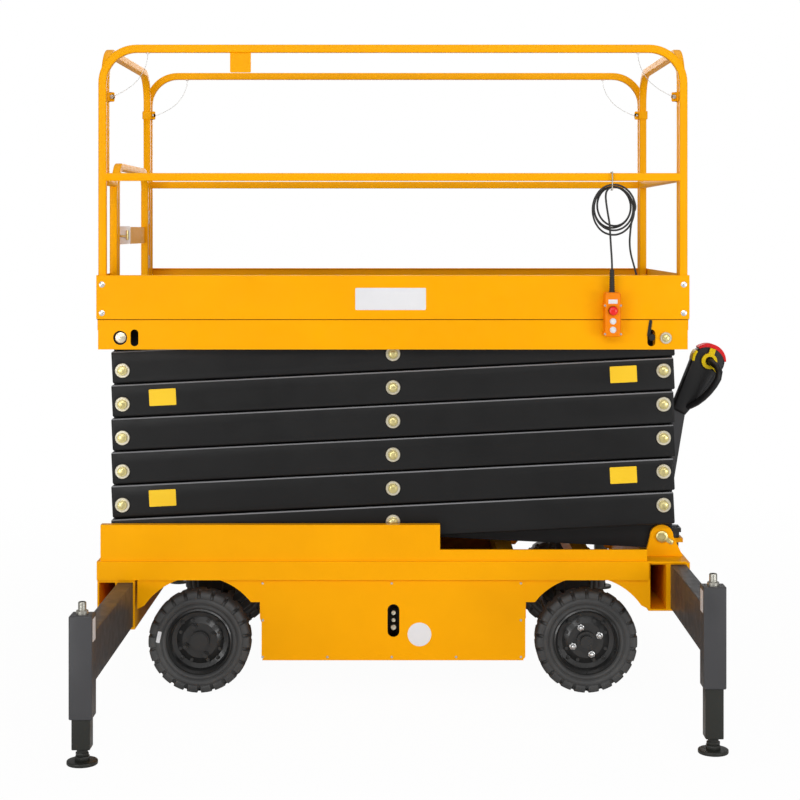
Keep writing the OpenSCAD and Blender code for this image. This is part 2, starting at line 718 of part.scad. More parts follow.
module side_rail() {
  t = rail_tube / 2;
  translate([0, rail_y, 0]) {
    hoop(post_x, frame_top, top_z, rail_bend, rail_tube);
    block([-post_x, -t, mid_z - t], [post_x, t, mid_z + t]);
  }
}
module side_rail_left() color(yellow) placed() side_rail();
module side_rail_right() color(yellow) placed() {
  z = top_z - rail_tube / 2;
  mirror([0, 1, 0]) side_rail();
  block([-578, -rail_y - 2, z - 70], [-504, -rail_y + 2, z]);
}

// Collar on an end rail's post, with an ear for its locking pin
collar = [37, 34];
collar_z = deck_z + 770;
ear = [15, 10];
lock_pin_r = 4;
lock_x = post_x - collar[0] / 2 - ear[0] / 2;
module collars() for (s = [-1, 1]) difference() {
  union() {
    block([post_x - collar[0] / 2, s * end_y - collar[0] / 2, collar_z],
      [post_x + collar[0] / 2, s * end_y + collar[0] / 2, collar_z + collar[1]]);
    block([lock_x - ear[0] / 2, s * end_y - ear[1] / 2, collar_z],
      [post_x, s * end_y + ear[1] / 2, collar_z + collar[1]]);
  }
  bar_y(lock_x, collar_z + collar[1] / 2, lock_pin_r + run_fit, [s * end_y - ear[1], s * end_y + ear[1]]);
}

module end_rail_front() color(yellow) placed() {
  t = rail_tube / 2;
  translate([post_x, 0, 0]) rotate([0, 0, 90]) hoop(end_y, frame_top, top_z, rail_bend, rail_tube);
  block([post_x - t, -end_y, mid_z - t], [post_x + t, end_y, mid_z + t]);
  collars();
}

hinge_y = end_y - 26;
hinge_pin_r = 6;
hinge_z = [deck_z + 180, deck_z + 364];
module end_rail_rear() color(yellow) placed() {
  t = rail_tube / 2;
  mirror([1, 0, 0]) collars();
  translate([-post_x, 0, 0]) {
    rotate([0, 0, 90]) hoop(end_y, mid_z, top_z, rail_bend, rail_tube);
    block([-t, end_y - t, frame_top], [t, end_y + t, mid_z]);
    block([-t, -end_y - t, mid_z - rail_tube], [t, latch_y + t, mid_z]);
    block([-t, latch_y - t, frame_top], [t, latch_y + t, mid_z - rail_tube]);
    for (z = hinge_z) {
      bar_z(0, hinge_y, hinge_pin_r, [z - 34, z + 34]);
      for (e = [-34, 28]) block([-6, hinge_y - 6, z + e], [6, end_y - t, z + e + 6]);
    }
  }
}

module gate() color(yellow) placed() translate([-post_x, 0, 0]) {
  t = rail_tube / 2;
  y = [latch_y + rail_tube + 12, hinge_y - 38];
  lock_plate = [deck_z + 257, deck_z + 323];
  rotate([0, 0, 90]) translate([(y[0] + y[1]) / 2, 0, 0])
    hoop((y[1] - y[0]) / 2, deck_z + 20, deck_z + gate_tall, 80, rail_tube);
  block([-t, y[0] + t, deck_z + 20], [t, y[1] - t, deck_z + 20 + rail_tube]);
  block([-3, y[0] + t, lock_plate[0]], [3, y[1] - t, lock_plate[1]]);
  for (z = hinge_z) difference() {
    union() {
      bar_z(0, hinge_y, 2 * hinge_pin_r, [z - 27, z + 27]);
      block([-6, y[1] + t, z - 20], [6, hinge_y, z + 20]);
    }
    bar_z(0, hinge_y, hinge_pin_r + run_fit, [z - 40, z + 40]);
  }
}

// Pendant control, hooked over the right toe board by a strap on its back
pendant_x = 772;
pendant_z = [1267, 1423];
pendant_half = 35;
pendant_y = [-half_wide - 60, -half_wide - 6];
boot_y = -half_wide - 30;
boot_r = 12;
boot_top = pendant_z[1] + 80;
module rounded(w, h, r) {
  translate([r, 0]) square([w - 2 * r, h]);
  translate([0, r]) square([w, h - 2 * r]);
  for (x = [r, w - r], y = [r, h - r]) translate([x, y]) circle(r = r);
}
module pendant_box() color([0.95, 0.42, 0.05]) placed() {
  plate_y(pendant_y) translate([pendant_x - pendant_half, pendant_z[0]])
    rounded(2 * pendant_half, pendant_z[1] - pendant_z[0], 12);
  block([pendant_x - 25, pendant_y[1], frame_top + 20], [pendant_x + 25, -half_wide, pendant_z[1] - 20]);
  bar_z(pendant_x, boot_y, boot_r, [pendant_z[1], boot_top]);
}
module pendant_buttons() color("red") placed() {
  bar_y(pendant_x, pendant_z[1] - 64, 15, [pendant_y[0] - 22, pendant_y[0]]);
  for (z = [25, 55]) bar_y(pendant_x, pendant_z[0] + z, 9, [pendant_y[0] - 8, pendant_y[0]]);
}

// Pendant cable: up from its boot to a coil that hangs under the mid rail, and down to a gland on the deck
cable_r = 3.5;
coil = [782, -556, 1728];
coil_r = [60, 87];
coil_half = 19;
cable_up = [
  [772, -600, 1503], [772, -600, 1518], [771, -599, 1545], [769, -596, 1580], [767, -592, 1620],
  [765, -588, 1665], [764, -585, 1710], [764, -584, 1750], [765, -583, 1778], [767, -583, 1789],
  [768, -580, 1793], [768, -575, 1793]
];
cable_down = [
  [849, -575, 1713], [849, -580, 1713], [847, -584, 1700], [843, -582, 1668], [839, -578, 1632],
  [838, -571, 1596], [843, -561, 1560], [853, -551, 1525], [863, -544, 1492], [871, -541, 1458],
  [877, -541, 1424], [880, -541, 1392], [880, -541, 1370], gland
];
module pendant_cable() color(black) placed() {
  routed(cable_up, cable_r, 8);
  routed(cable_down, cable_r, 8);
}
module pendant_coil() color(black) placed() translate(coil) rotate([90, 0, 0]) rotate_extrude()
  translate([coil_r[0], -coil_half]) square([coil_r[1] - coil_r[0], 2 * coil_half]);
module cable_gland() color(black) placed() bar_z(gland[0], gland[1], gland_r, [frame_top, gland[2]]);

// Locking pins in the collars' ears, and the wire hook that carries the coil
module lock_pin() {
  y = end_y + ear[1] / 2;
  z = collar_z + collar[1] / 2;
  bar_y(lock_x, z, lock_pin_r, [y - 20, y + 4]);
  bar_y(lock_x, z, lock_pin_r + 3, [y + 4, y + 9]);
}
hook_r = 2.5;
hook_x = 776;
module cable_hook() {
  t = rail_tube / 2 + hook_r + slide_fit;
  y = [coil[1] - coil_half - hook_r - slide_fit, -rail_y + t];
  z = [coil[2] + coil_r[0] - hook_r - 1, mid_z + t];
  bar_z(hook_x, y[0], hook_r, z);
  bar_z(hook_x, y[1], hook_r, [mid_z - 6, z[1]]);
  bar_y(hook_x, z[0], hook_r, [y[0], coil[1] + coil_half - 4]);
  bar_y(hook_x, z[1], hook_r, y);
  for (y = y) translate([hook_x, y, z[1]]) sphere(r = hook_r);
  translate([hook_x, y[0], z[0]]) sphere(r = hook_r);
}
module rail_hardware() color(steel) placed() {
  for (s = [0, 1]) mirror([s, 0, 0]) both_sides() lock_pin();
  cable_hook();
}

// Wire lanyard of one locking pin, from under the top rail to the pin's head
wire_r = 1;
wire_route = [
  [870, 553, 2271], [870, 553, 2262], [872, 552, 2246], [877, 550, 2228], [885, 547, 2209],
  [896, 544, 2191], [909, 541, 2174], [924, 538, 2160], [940, 535, 2148], [956, 532, 2138],
  [971, 529, 2130], [984, 526, 2124], [995, 523, 2120], [1002, 520, 2118], [1004, 517, 2118]
];
module pin_lanyards() color(steel) placed() for (s = [0, 1]) mirror([s, 0, 0])
  both_sides() routed(wire_route, wire_r, 8);

// Outriggers: an arm with its leg, drawn for the side of -Y, and a jack with its pad
module outrigger(x, z, reach) {
  back = -reach + leg_side;
  low = z + beam_tall + leg_above - leg_tall;
  top = low + leg_tall;
  bore = (jack_side + jack_fit) / 2;
  mid = -reach + leg_side / 2;
  block([x - beam_wide / 2, back, z], [x + beam_wide / 2, arm_inner_y, z + beam_tall]);
  difference() {
    block([x - leg_side / 2, -reach, low], [x + leg_side / 2, back, top]);
    block([x - bore, mid - bore, low - 1], [x + bore, mid + bore, top - leg_cap]);
  }
  bar_z(x, mid, neck_r + 1, [top, top + crank_r]);
  bar_z(x, mid, crank_r, [top + crank_r, top + crank_r + crank_tall]);
}

module jack(x, z, reach) {
  y = -reach + leg_side / 2;
  half = jack_side / 2;
  low = z + beam_tall + leg_above - leg_tall;
  block([x - half, y - half, neck_top], [x + half, y + half, low + jack_inside]);
  bar_z(x, y, neck_r, [pad_thick, neck_top]);
  bar_z(x, y, pad_d / 2, [0, pad_thick]);
}

module outrigger_front_right() color(grey) placed() outrigger(front_arm_x[0], front_arm_z, leg_reach);
module outrigger_front_left() color(grey) placed() mirror([0, 1, 0]) outrigger(front_arm_x[1], front_arm_z, leg_reach);
module outrigger_rear_right() color(grey) placed() outrigger(rear_arm_x[0], rear_arm_z, rear_reach);
module outrigger_rear_left() color(grey) placed() mirror([0, 1, 0]) outrigger(rear_arm_x[1], rear_arm_z, rear_reach);
module jack_front_right() color(grey) placed() jack(front_arm_x[0], front_arm_z, leg_reach);
module jack_front_left() color(grey) placed() mirror([0, 1, 0]) jack(front_arm_x[1], front_arm_z, leg_reach);
module jack_rear_right() color(grey) placed() jack(rear_arm_x[0], rear_arm_z, rear_reach);
module jack_rear_left() color(grey) placed() mirror([0, 1, 0]) jack(rear_arm_x[1], rear_arm_z, rear_reach);

chassis_frame();
outrigger_sleeves();
cover_panels();
power_unit();
rear_axle();
front_axle();
knuckle_right();
knuckle_left();
tie_rod();
drag_link();
tyre_front_right();
tyre_front_left();
tyre_rear_right();
tyre_rear_left();
rim_front_right();
rim_front_left();
rim_rear_right();
rim_rear_left();
tiller_column();
tiller_shaft();
tiller_head();
tiller_controls();
tiller_cap();
inner_arms_1();
inner_arms_2();
inner_arms_3();
inner_arms_4();
inner_arms_5();
inner_arms_6();
outer_arms_1();
outer_arms_2();
outer_arms_3();
outer_arms_4();
outer_arms_5();
outer_arms_6();
cylinder_barrels();
cylinder_rods();
platform_frame();
platform_deck();
toe_boards();
side_rail_right();
side_rail_left();
end_rail_front();
end_rail_rear();
gate();
rail_hardware();
pin_lanyards();
pendant_box();
pendant_buttons();
pendant_cable();
pendant_coil();
cable_gland();
outrigger_front_right();
outrigger_front_left();
outrigger_rear_right();
outrigger_rear_left();
jack_front_right();
jack_front_left();
jack_rear_right();
jack_rear_left();
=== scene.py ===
"""Towable scissor lift: the finish of each piece, and the small fittings that go on it."""
import json
import math

import bmesh
import bpy
from mathutils import Matrix, Vector


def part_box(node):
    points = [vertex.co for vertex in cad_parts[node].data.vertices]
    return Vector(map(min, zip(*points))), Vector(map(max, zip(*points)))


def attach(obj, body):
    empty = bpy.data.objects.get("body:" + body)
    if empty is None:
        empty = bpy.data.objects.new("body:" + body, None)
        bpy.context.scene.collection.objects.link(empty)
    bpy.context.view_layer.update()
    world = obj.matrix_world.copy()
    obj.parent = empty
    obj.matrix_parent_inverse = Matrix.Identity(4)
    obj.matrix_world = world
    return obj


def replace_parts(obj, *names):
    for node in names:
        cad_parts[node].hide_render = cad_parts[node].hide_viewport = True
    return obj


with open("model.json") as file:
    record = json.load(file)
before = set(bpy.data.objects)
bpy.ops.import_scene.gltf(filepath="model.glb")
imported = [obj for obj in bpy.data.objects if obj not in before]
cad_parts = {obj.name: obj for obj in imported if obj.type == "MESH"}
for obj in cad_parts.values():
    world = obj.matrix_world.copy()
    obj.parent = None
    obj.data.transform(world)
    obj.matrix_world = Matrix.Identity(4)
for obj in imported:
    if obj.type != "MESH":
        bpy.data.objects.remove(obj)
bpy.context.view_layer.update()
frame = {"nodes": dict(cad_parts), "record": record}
nodes = frame["nodes"]
joint_at = {j["name"]: j["pos_m"] for j in frame["record"]["behaviour"]["joints"] if "pos_m" in j}


# Studio: a seamless white sweep, with a long strip and two soft boxes in front of the machine,
# one box above it and one behind. The floor is pale board that takes the machine's shadow and
# fades to white further off.
def shader_tree(owner):
    """Emptied shader nodes of a material or of the world."""
    owner.use_nodes = True
    tree = owner.node_tree
    tree.nodes.clear()
    return tree


def make_sweep():
    floor_half = 40.0
    board = (0.92, 0.92, 0.92, 1)
    glow_share = 0.97
    fade = (2.0, 4.5)
    mesh = bmesh.new()
    bmesh.ops.create_grid(mesh, x_segments=1, y_segments=1, size=floor_half)
    data = bpy.data.meshes.new("studio_floor")
    mesh.to_mesh(data)
    mesh.free()
    floor = bpy.data.objects.new("studio_floor", data)
    bpy.context.scene.collection.objects.link(floor)
    material = bpy.data.materials.new("pale_board")
    tree = shader_tree(material)
    out = tree.nodes.new("ShaderNodeOutputMaterial")
    matt = tree.nodes.new("ShaderNodeBsdfDiffuse")
    matt.inputs["Color"].default_value = board
    glow = tree.nodes.new("ShaderNodeEmission")
    spot = tree.nodes.new("ShaderNodeTexCoord")
    away = tree.nodes.new("ShaderNodeVectorMath")
    away.operation = "LENGTH"
    share = tree.nodes.new("ShaderNodeMapRange")
    share.inputs["From Min"].default_value = fade[0]
    share.inputs["From Max"].default_value = fade[1]
    share.inputs["To Min"].default_value = glow_share
    seen = tree.nodes.new("ShaderNodeMixShader")
    lit = tree.nodes.new("ShaderNodeMixShader")
    path = tree.nodes.new("ShaderNodeLightPath")
    tree.links.new(spot.outputs["Object"], away.inputs[0])
    tree.links.new(away.outputs["Value"], share.inputs["Value"])
    tree.links.new(share.outputs["Result"], seen.inputs["Fac"])
    tree.links.new(matt.outputs[0], seen.inputs[1])
    tree.links.new(glow.outputs[0], seen.inputs[2])
    tree.links.new(path.outputs["Is Camera Ray"], lit.inputs["Fac"])
    tree.links.new(matt.outputs[0], lit.inputs[1])
    tree.links.new(seen.outputs[0], lit.inputs[2])
    tree.links.new(lit.outputs[0], out.inputs["Surface"])
    data.materials.append(material)


def make_sky():
    """White all round for the camera, and a weaker fill for what it lights."""
    white = (1, 1, 1, 1)
    ambient = 0.36
    world = bpy.data.worlds.new("white_sweep")
    bpy.context.scene.world = world
    tree = shader_tree(world)
    out = tree.nodes.new("ShaderNodeOutputWorld")
    fill = tree.nodes.new("ShaderNodeBackground")
    fill.inputs["Color"].default_value = white
    fill.inputs["Strength"].default_value = ambient
    seen = tree.nodes.new("ShaderNodeBackground")
    seen.inputs["Color"].default_value = white
    path = tree.nodes.new("ShaderNodeLightPath")
    mix = tree.nodes.new("ShaderNodeMixShader")
    tree.links.new(path.outputs["Is Camera Ray"], mix.inputs["Fac"])
    tree.links.new(fill.outputs[0], mix.inputs[1])
    tree.links.new(seen.outputs[0], mix.inputs[2])
    tree.links.new(mix.outputs[0], out.inputs["Surface"])


def soft_box(name, at, aim, size, watts):
    lamp = bpy.data.lights.new(name, "AREA")
    lamp.shape = "RECTANGLE"
    lamp.size, lamp.size_y = size
    lamp.energy = watts
    box = bpy.data.objects.new(name, lamp)
    box.location = at
    box.rotation_euler = (Vector(aim) - Vector(at)).to_track_quat("-Z", "Y").to_euler()
    bpy.context.scene.collection.objects.link(box)


make_sweep()
make_sky()
soft_box("front_strip", at=(0, -5.8, 3.6), aim=(0, 0, 0.8), size=(6.0, 1.2), watts=108)
soft_box("left_box", at=(-4.4, -6.4, 1.1), aim=(0, 0, 0.5), size=(2.6, 2.0), watts=98)
soft_box("right_box", at=(4.6, -5.4, 1.1), aim=(0, 0, 0.5), size=(2.4, 2.0), watts=90)
soft_box("top_box", at=(0, 0.4, 5.6), aim=(0, 0, 0), size=(4.0, 4.0), watts=70)
soft_box("back_box", at=(0, 6.0, 3.0), aim=(0, 0, 1.2), size=(3.6, 2.4), watts=60)

# Camera: level, at a standing person's eye height, square to the machine's right side.
# The image is 800 by 800 with the lens axis above its middle.
image_side = 800
axis_px = (407, 230)
camera_data = bpy.data.cameras.new("camera")
camera_data.sensor_width = 36.0
camera_data.lens = 77.9
camera_data.shift_x = (image_side / 2 - axis_px[0]) / image_side
camera_data.shift_y = (axis_px[1] - image_side / 2) / image_side
camera = bpy.data.objects.new("camera", camera_data)
camera.location = (-0.0596, -6.697, 1.642)
camera.rotation_euler = (math.radians(90), 0, 0)
bpy.context.scene.collection.objects.link(camera)
bpy.context.scene.camera = camera
bpy.context.scene.view_settings.view_transform = "Standard"

# Chassis: folded and welded steel plate, with roller channels, sleeve boxes and side covers.
# Everything is sprayed in one coat of yellow enamel, a little uneven in gloss.
noise_span = (0.3, 0.7)
right, left = -1, 1


def blotches(tree, scale, detail):
    """Cloudy pattern fixed to the piece, with nearly all its values in the noise span."""
    spot = tree.nodes.new("ShaderNodeTexCoord")
    cloud = tree.nodes.new("ShaderNodeTexNoise")
    cloud.inputs["Scale"].default_value = scale
    cloud.inputs["Detail"].default_value = detail
    tree.links.new(spot.outputs["Object"], cloud.inputs["Vector"])
    return cloud.outputs["Fac"]


def ramped(tree, value, low, high):
    """The pattern spread over a range of values."""
    spread = tree.nodes.new("ShaderNodeMapRange")
    spread.inputs["From Min"].default_value = noise_span[0]
    spread.inputs["From Max"].default_value = noise_span[1]
    spread.inputs["To Min"].default_value = low
    spread.inputs["To Max"].default_value = high
    tree.links.new(value, spread.inputs["Value"])
    return spread.outputs["Result"]


def two_tone(tree, value, dark, light):
    """The pattern as a mix of two close colours."""
    tones = tree.nodes.new("ShaderNodeValToRGB")
    for stop, position, tone in zip(tones.color_ramp.elements, noise_span, (dark, light)):
        stop.position = position
        stop.color = (*tone, 1)
    tree.links.new(value, tones.inputs["Fac"])
    return tones.outputs["Color"]


def dimpled(tree, value, strength, distance):
    bump = tree.nodes.new("ShaderNodeBump")
    bump.inputs["Strength"].default_value = strength
    bump.inputs["Distance"].default_value = distance
    tree.links.new(value, bump.inputs["Height"])
    return bump.outputs["Normal"]


def painted_highlight(tree, colour, highlight_colour):
    """Colour turning to a lighter grey where the surface faces partly up, as a round upper edge does: a
    painted highlight.
    """
    share_at_slope = ((0.22, 0), (0.45, 1), (0.90, 1), (0.985, 0))
    surface = tree.nodes.new("ShaderNodeNewGeometry")
    axes = tree.nodes.new("ShaderNodeSeparateXYZ")
    tree.links.new(surface.outputs["Normal"], axes.inputs[0])
    amount = tree.nodes.new("ShaderNodeValToRGB")
    stops = amount.color_ramp.elements
    for i, (slope, share) in enumerate(share_at_slope):
        stop = stops[i] if i < len(stops) else stops.new(slope)
        stop.position = slope
        stop.color = (share, share, share, 1)
    tree.links.new(axes.outputs["Z"], amount.inputs[0])
    blend = tree.nodes.new("ShaderNodeMix")
    blend.data_type = "RGBA"
    sockets = [socket for socket in blend.inputs if socket.type == "RGBA"]
    sockets[1].default_value = (*highlight_colour, 1)
    tree.links.new(amount.outputs["Color"], blend.inputs["Factor"])
    tree.links.new(colour, sockets[0])
    return next(socket for socket in blend.outputs if socket.type == "RGBA")


def finish(name, dark, light, gloss, grain, dimple, metal=0.0, coat=0.0, cloud=4.0, shine=0.5, highlight_colour=None):
    """A finish with cloudy colour, roughness between two values, a fine grain and a painted highlight on
    upper round edges if asked for.
    """
    gloss_finer = 6
    material = bpy.data.materials.new(name)
    tree = shader_tree(material)
    out = tree.nodes.new("ShaderNodeOutputMaterial")
    skin = tree.nodes.new("ShaderNodeBsdfPrincipled")
    tree.links.new(skin.outputs[0], out.inputs["Surface"])
    # A lighter grey on partly upward faces, if asked for, is a painted highlight along round upper edges.
    colour = two_tone(tree, blotches(tree, cloud, detail=4), dark, light)
    if highlight_colour:
        colour = painted_highlight(tree, colour, highlight_colour)
    tree.links.new(colour, skin.inputs["Base Color"])
    sheen = ramped(tree, blotches(tree, cloud * gloss_finer, detail=3), *gloss)
    tree.links.new(sheen, skin.inputs["Roughness"])
    tree.links.new(dimpled(tree, blotches(tree, grain, detail=2), *dimple), skin.inputs["Normal"])
    skin.inputs["Metallic"].default_value = metal
    skin.inputs["Coat Weight"].default_value = coat
    skin.inputs["Specular IOR Level"].default_value = shine
    return material


def bare_metal(name, dark, light, gloss, dimple):
    return finish(name, dark, light, gloss, grain=500, dimple=dimple, metal=1.0, cloud=30.0)


def dress(material, *names):
    for name in names:
        slots = nodes[name].data.materials
        slots.clear()
        slots.append(material)


def make(name, mesh, material, body, crease=35):
    """Turns a mesh into a finished piece that rides on a body, sharp where faces meet at a crease."""
    bmesh.ops.recalc_face_normals(mesh, faces=mesh.faces)
    for face in mesh.faces:
        face.smooth = True
    for edge in mesh.edges:
        edge.smooth = len(edge.link_faces) == 2 and edge.calc_face_angle() < math.radians(crease)
    data = bpy.data.meshes.new(name)
    mesh.to_mesh(data)
    mesh.free()
    data.materials.append(material)
    piece = bpy.data.objects.new(name, data)
    bpy.context.scene.collection.objects.link(piece)
    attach(piece, body)
    return piece


def facing(at, out, up=(0, 0, 1)):
    """Seat of a fitting: its Z points out of the surface and its Y up along it."""
    z = Vector(out).normalized()
    x = Vector(up).cross(z).normalized()
    return Matrix.Translation(at) @ Matrix((x, z.cross(x), z)).transposed().to_4x4()


def on_side(side, x, face, z):
    """Seat on an upright face of the right or left side, by the face's distance from the middle."""
    return facing((x, side * face, z), (0, side, 0))


def moved(seat, x=0, y=0, z=0, roll=0):
    """Seat moved along its own axes, then turned about its Z."""
    return seat @ Matrix.Translation((x, y, z)) @ Matrix.Rotation(roll, 4, "Z")


def place(mesh, form, seat):
    """Adds a small form, made at the origin, to a larger mesh at its seat."""
    bmesh.ops.transform(form, matrix=seat, verts=form.verts)
    data = bpy.data.meshes.new("form")
    form.to_mesh(data)
    form.free()
    mesh.from_mesh(data)
    bpy.data.meshes.remove(data)


def turned(profile, steps=32):
    """Round form about Z from its profile of radius and height."""
    form = bmesh.new()
    verts = [form.verts.new((r, 0, h)) for r, h in profile]
    edges = [form.edges.new(pair) for pair in zip(verts, verts[1:])]
    bmesh.ops.spin(form, geom=verts + edges, axis=(0, 0, 1), cent=(0, 0, 0), dvec=(0, 0, 0),
                   angle=2 * math.pi, steps=steps, use_merge=True)
    bmesh.ops.remove_doubles(form, verts=form.verts, dist=1e-6)
    bmesh.ops.recalc_face_normals(form, faces=form.faces)
    return form


def round_off(form, edges, radius, segments=3):
    bmesh.ops.bevel(form, geom=edges, offset=radius, affect="EDGES", segments=segments, profile=0.5,
                    material=-1)


def hexagon(radius, height, chamfer=0.0008):
    """Bolt head or nut standing on its seat."""
    form = bmesh.new()
    bmesh.ops.create_cone(form, cap_ends=True, segments=6, radius1=radius, radius2=radius, depth=height,
                          matrix=Matrix.Translation((0, 0, height / 2)))
    round_off(form, form.edges[:], chamfer, segments=2)
    return form


def rounded_outline(wide, tall, corner, steps=6):
    """Rectangle about the origin with round corners, anticlockwise."""
    points = []
    for i, (sx, sy) in enumerate(((1, 1), (-1, 1), (-1, -1), (1, -1))):
        x, y = sx * (wide / 2 - corner), sy * (tall / 2 - corner)
        for k in range(steps + 1):
            a = math.radians(90 * (i + k / steps))
            points.append((x + corner * math.cos(a), y + corner * math.sin(a)))
    return points


def sheet_metal(thick, *outlines):
    """Flat plate with its outer outline first, and its holes after it."""
    form = bmesh.new()
    edges = []
    for outline in outlines:
        verts = [form.verts.new((x, y, 0)) for x, y in outline]
        edges += [form.edges.new((verts[i - 1], verts[i])) for i in range(len(verts))]
    bmesh.ops.triangle_fill(form, use_beauty=True, edges=edges)
    grown = bmesh.ops.extrude_face_region(form, geom=form.faces[:], use_keep_orig=True)
    lifted = [v for v in grown["geom"] if isinstance(v, bmesh.types.BMVert)]
    bmesh.ops.translate(form, verts=lifted, vec=(0, 0, thick))
    bmesh.ops.recalc_face_normals(form, faces=form.faces)
    return form


def plate(wide, tall, thick, corner):
    return sheet_metal(thick, rounded_outline(wide, tall, corner))


def soft_block(size, radius, segments=3):
    """Box standing on its seat with round edges."""
    form = bmesh.new()
    stretch = Matrix.Translation((0, 0, size[2] / 2)) @ Matrix.Diagonal((*size, 1))
    bmesh.ops.create_cube(form, size=1, matrix=stretch)
    round_off(form, form.edges[:], radius, segments)
    return form


yellow_enamel = finish("yellow_enamel", dark=(0.94, 0.395, 0.0), light=(1.0, 0.43, 0.0),
                       gloss=(0.30, 0.42), grain=700, dimple=(0.05, 0.0006), shine=0.08)
dress(yellow_enamel, "chassis_frame", "outrigger_sleeves", "cover_panels")
pump_housing = finish("pump_housing", dark=(0.030, 0.030, 0.032), light=(0.05, 0.05, 0.052),
                      gloss=(0.45, 0.6), grain=300, dimple=(0.1, 0.001))
dress(pump_housing, "power_unit")
zinc = bare_metal("zinc", dark=(0.62, 0.53, 0.22), light=(0.80, 0.70, 0.34),
                  gloss=(0.26, 0.4), dimple=(0.05, 0.0003))
pale_zinc = bare_metal("pale_zinc", dark=(0.70, 0.64, 0.47), light=(0.82, 0.77, 0.62),
                       gloss=(0.3, 0.42), dimple=(0.05, 0.0003))
bright_steel = bare_metal("bright_steel", dark=(0.62, 0.62, 0.62), light=(0.78, 0.78, 0.78),
                          gloss=(0.22, 0.34), dimple=(0.04, 0.0003))
dull_steel = bare_metal("dull_steel", dark=(0.34, 0.33, 0.29), light=(0.48, 0.47, 0.42),
                        gloss=(0.34, 0.5), dimple=(0.08, 0.0004))
blank_white = finish("blank_white", dark=(0.74, 0.74, 0.76), light=(0.82, 0.82, 0.84),
                     gloss=(0.3, 0.4), grain=900, dimple=(0.03, 0.0002))

frame_low, frame_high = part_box("platform_frame")
mid_x = (frame_low.x + frame_high.x) / 2
panel_low, panel_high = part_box("cover_panels")
cover_wide = 0.934
cover_rim = 0.004
cover_tall = panel_high.z - panel_low.z - 2 * cover_rim
cover_thick = 0.0015
cover_back = -panel_low.y
cover_front = cover_back + cover_thick
cover_z = (panel_low.z + panel_high.z) / 2
slot_x = mid_x + 0.002
slot_size = (0.042, 0.116)
slot_drop = 0.002
slot_corner = slot_size[0] / 2 - 0.0001
screw_rows = (
    (0.391, (-0.461, -0.004, 0.4535)),
    (0.260, (-0.461, 0.4535)),
    (0.130, (-0.461, -0.232, -0.004, 0.224, 0.4535)),
)
screw_head = ((0, 0), (0.0046, 0), (0.0046, 0.0008), (0.0034, 0.002), (0, 0.0024))
screws, covers = bmesh.new(), bmesh.new()
for side in (right, left):
    slot_hole = [(x, y - slot_drop) for x, y in rounded_outline(*slot_size, slot_corner, steps=10)]
    cover = sheet_metal(cover_thick, rounded_outline(cover_wide, cover_tall, corner=0.012), slot_hole)
    place(covers, cover, on_side(side, slot_x, cover_back, cover_z))
    for z, row in screw_rows:
        for x in row:
            place(screws, turned(screw_head, steps=16), on_side(side, mid_x + x, cover_front, z))
make("side_covers", covers, yellow_enamel, "chassis")
make("cover_screws", screws, bright_steel, "chassis")

sticker_x, sticker_z = mid_x + 0.094, 0.210
sticker_disc = ((0, 0), (0.042, 0), (0.042, 0.0003), (0.041, 0.0005), (0.0365, 0.0004), (0, 0.0004))
sticker = bmesh.new()
place(sticker, turned(sticker_disc, steps=48), on_side(right, sticker_x, cover_front, sticker_z))
make("round_sticker", sticker, blank_white, "chassis")

# Valve group: a block on the pump housing, with two spools and a drain plug.
# It shows only through the slots of the covers.
pump_face = -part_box("power_unit")[0].y
valve_z = 0.256
valve_size = (0.052, 0.13, 0.075)
spool_rows = ((0.022, 0.0095), (-0.004, 0.0085), (-0.030, 0.011))
valve, spools = bmesh.new(), bmesh.new()
for side in (right, left):
    seat = on_side(side, slot_x, pump_face, valve_z)
    place(valve, soft_block(valve_size, radius=0.004), seat)
    for y, r in spool_rows:
        spool = ((0, 0), (r, 0), (r, 0.05), (r - 0.002, 0.054), (r - 0.004, 0.054), (0, 0.051))
        place(spools, turned(spool, steps=24), moved(seat, y=y, z=valve_size[2]))
make("valve_block", valve, pump_housing, "chassis")
make("valve_spools", spools, pale_zinc, "chassis")

# Lowest pivot pins: a cap on each end, at the chassis's front ears.
# A keeper plate with one bolt holds each pin in its ear.
pivot = Vector(joint_at["lift"])
pin_end = 0.480
ear_face = 0.472
pin_cap = ((0, -0.0075), (0.0212, -0.0075), (0.0212, 0.001), (0.019, 0.0025), (0.011, 0.0025),
           (0.010, 0.0012), (0, 0.0012))
keeper_x, keeper_z = pivot.x + 0.026, pivot.z - 0.015
keeper_tilt = math.radians(-30)
keeper_thick = 0.004
caps = bmesh.new()
for side in (right, left):
    place(caps, turned(pin_cap), on_side(side, pivot.x, pin_end, pivot.z))
    keeper = on_side(side, keeper_x, ear_face, keeper_z)
    place(caps, plate(0.032, 0.016, keeper_thick, corner=0.005), moved(keeper, roll=keeper_tilt))
    place(caps, hexagon(0.0075, 0.005), moved(keeper, x=0.006, y=-0.003, z=keeper_thick))
make("pivot_pin_caps", caps, zinc, "chassis")

# Axles and steering: forged and welded steel under thin black paint.
# Pins and eyes run dry, so the paint is duller than on the arms.
axle_black = finish("axle_black", dark=(0.010, 0.010, 0.011), light=(0.022, 0.022, 0.023),
                    gloss=(0.42, 0.58), grain=260, dimple=(0.14, 0.001), shine=0.4)
dress(axle_black, "rear_axle", "front_axle", "knuckle_right", "knuckle_left", "tie_rod", "drag_link")

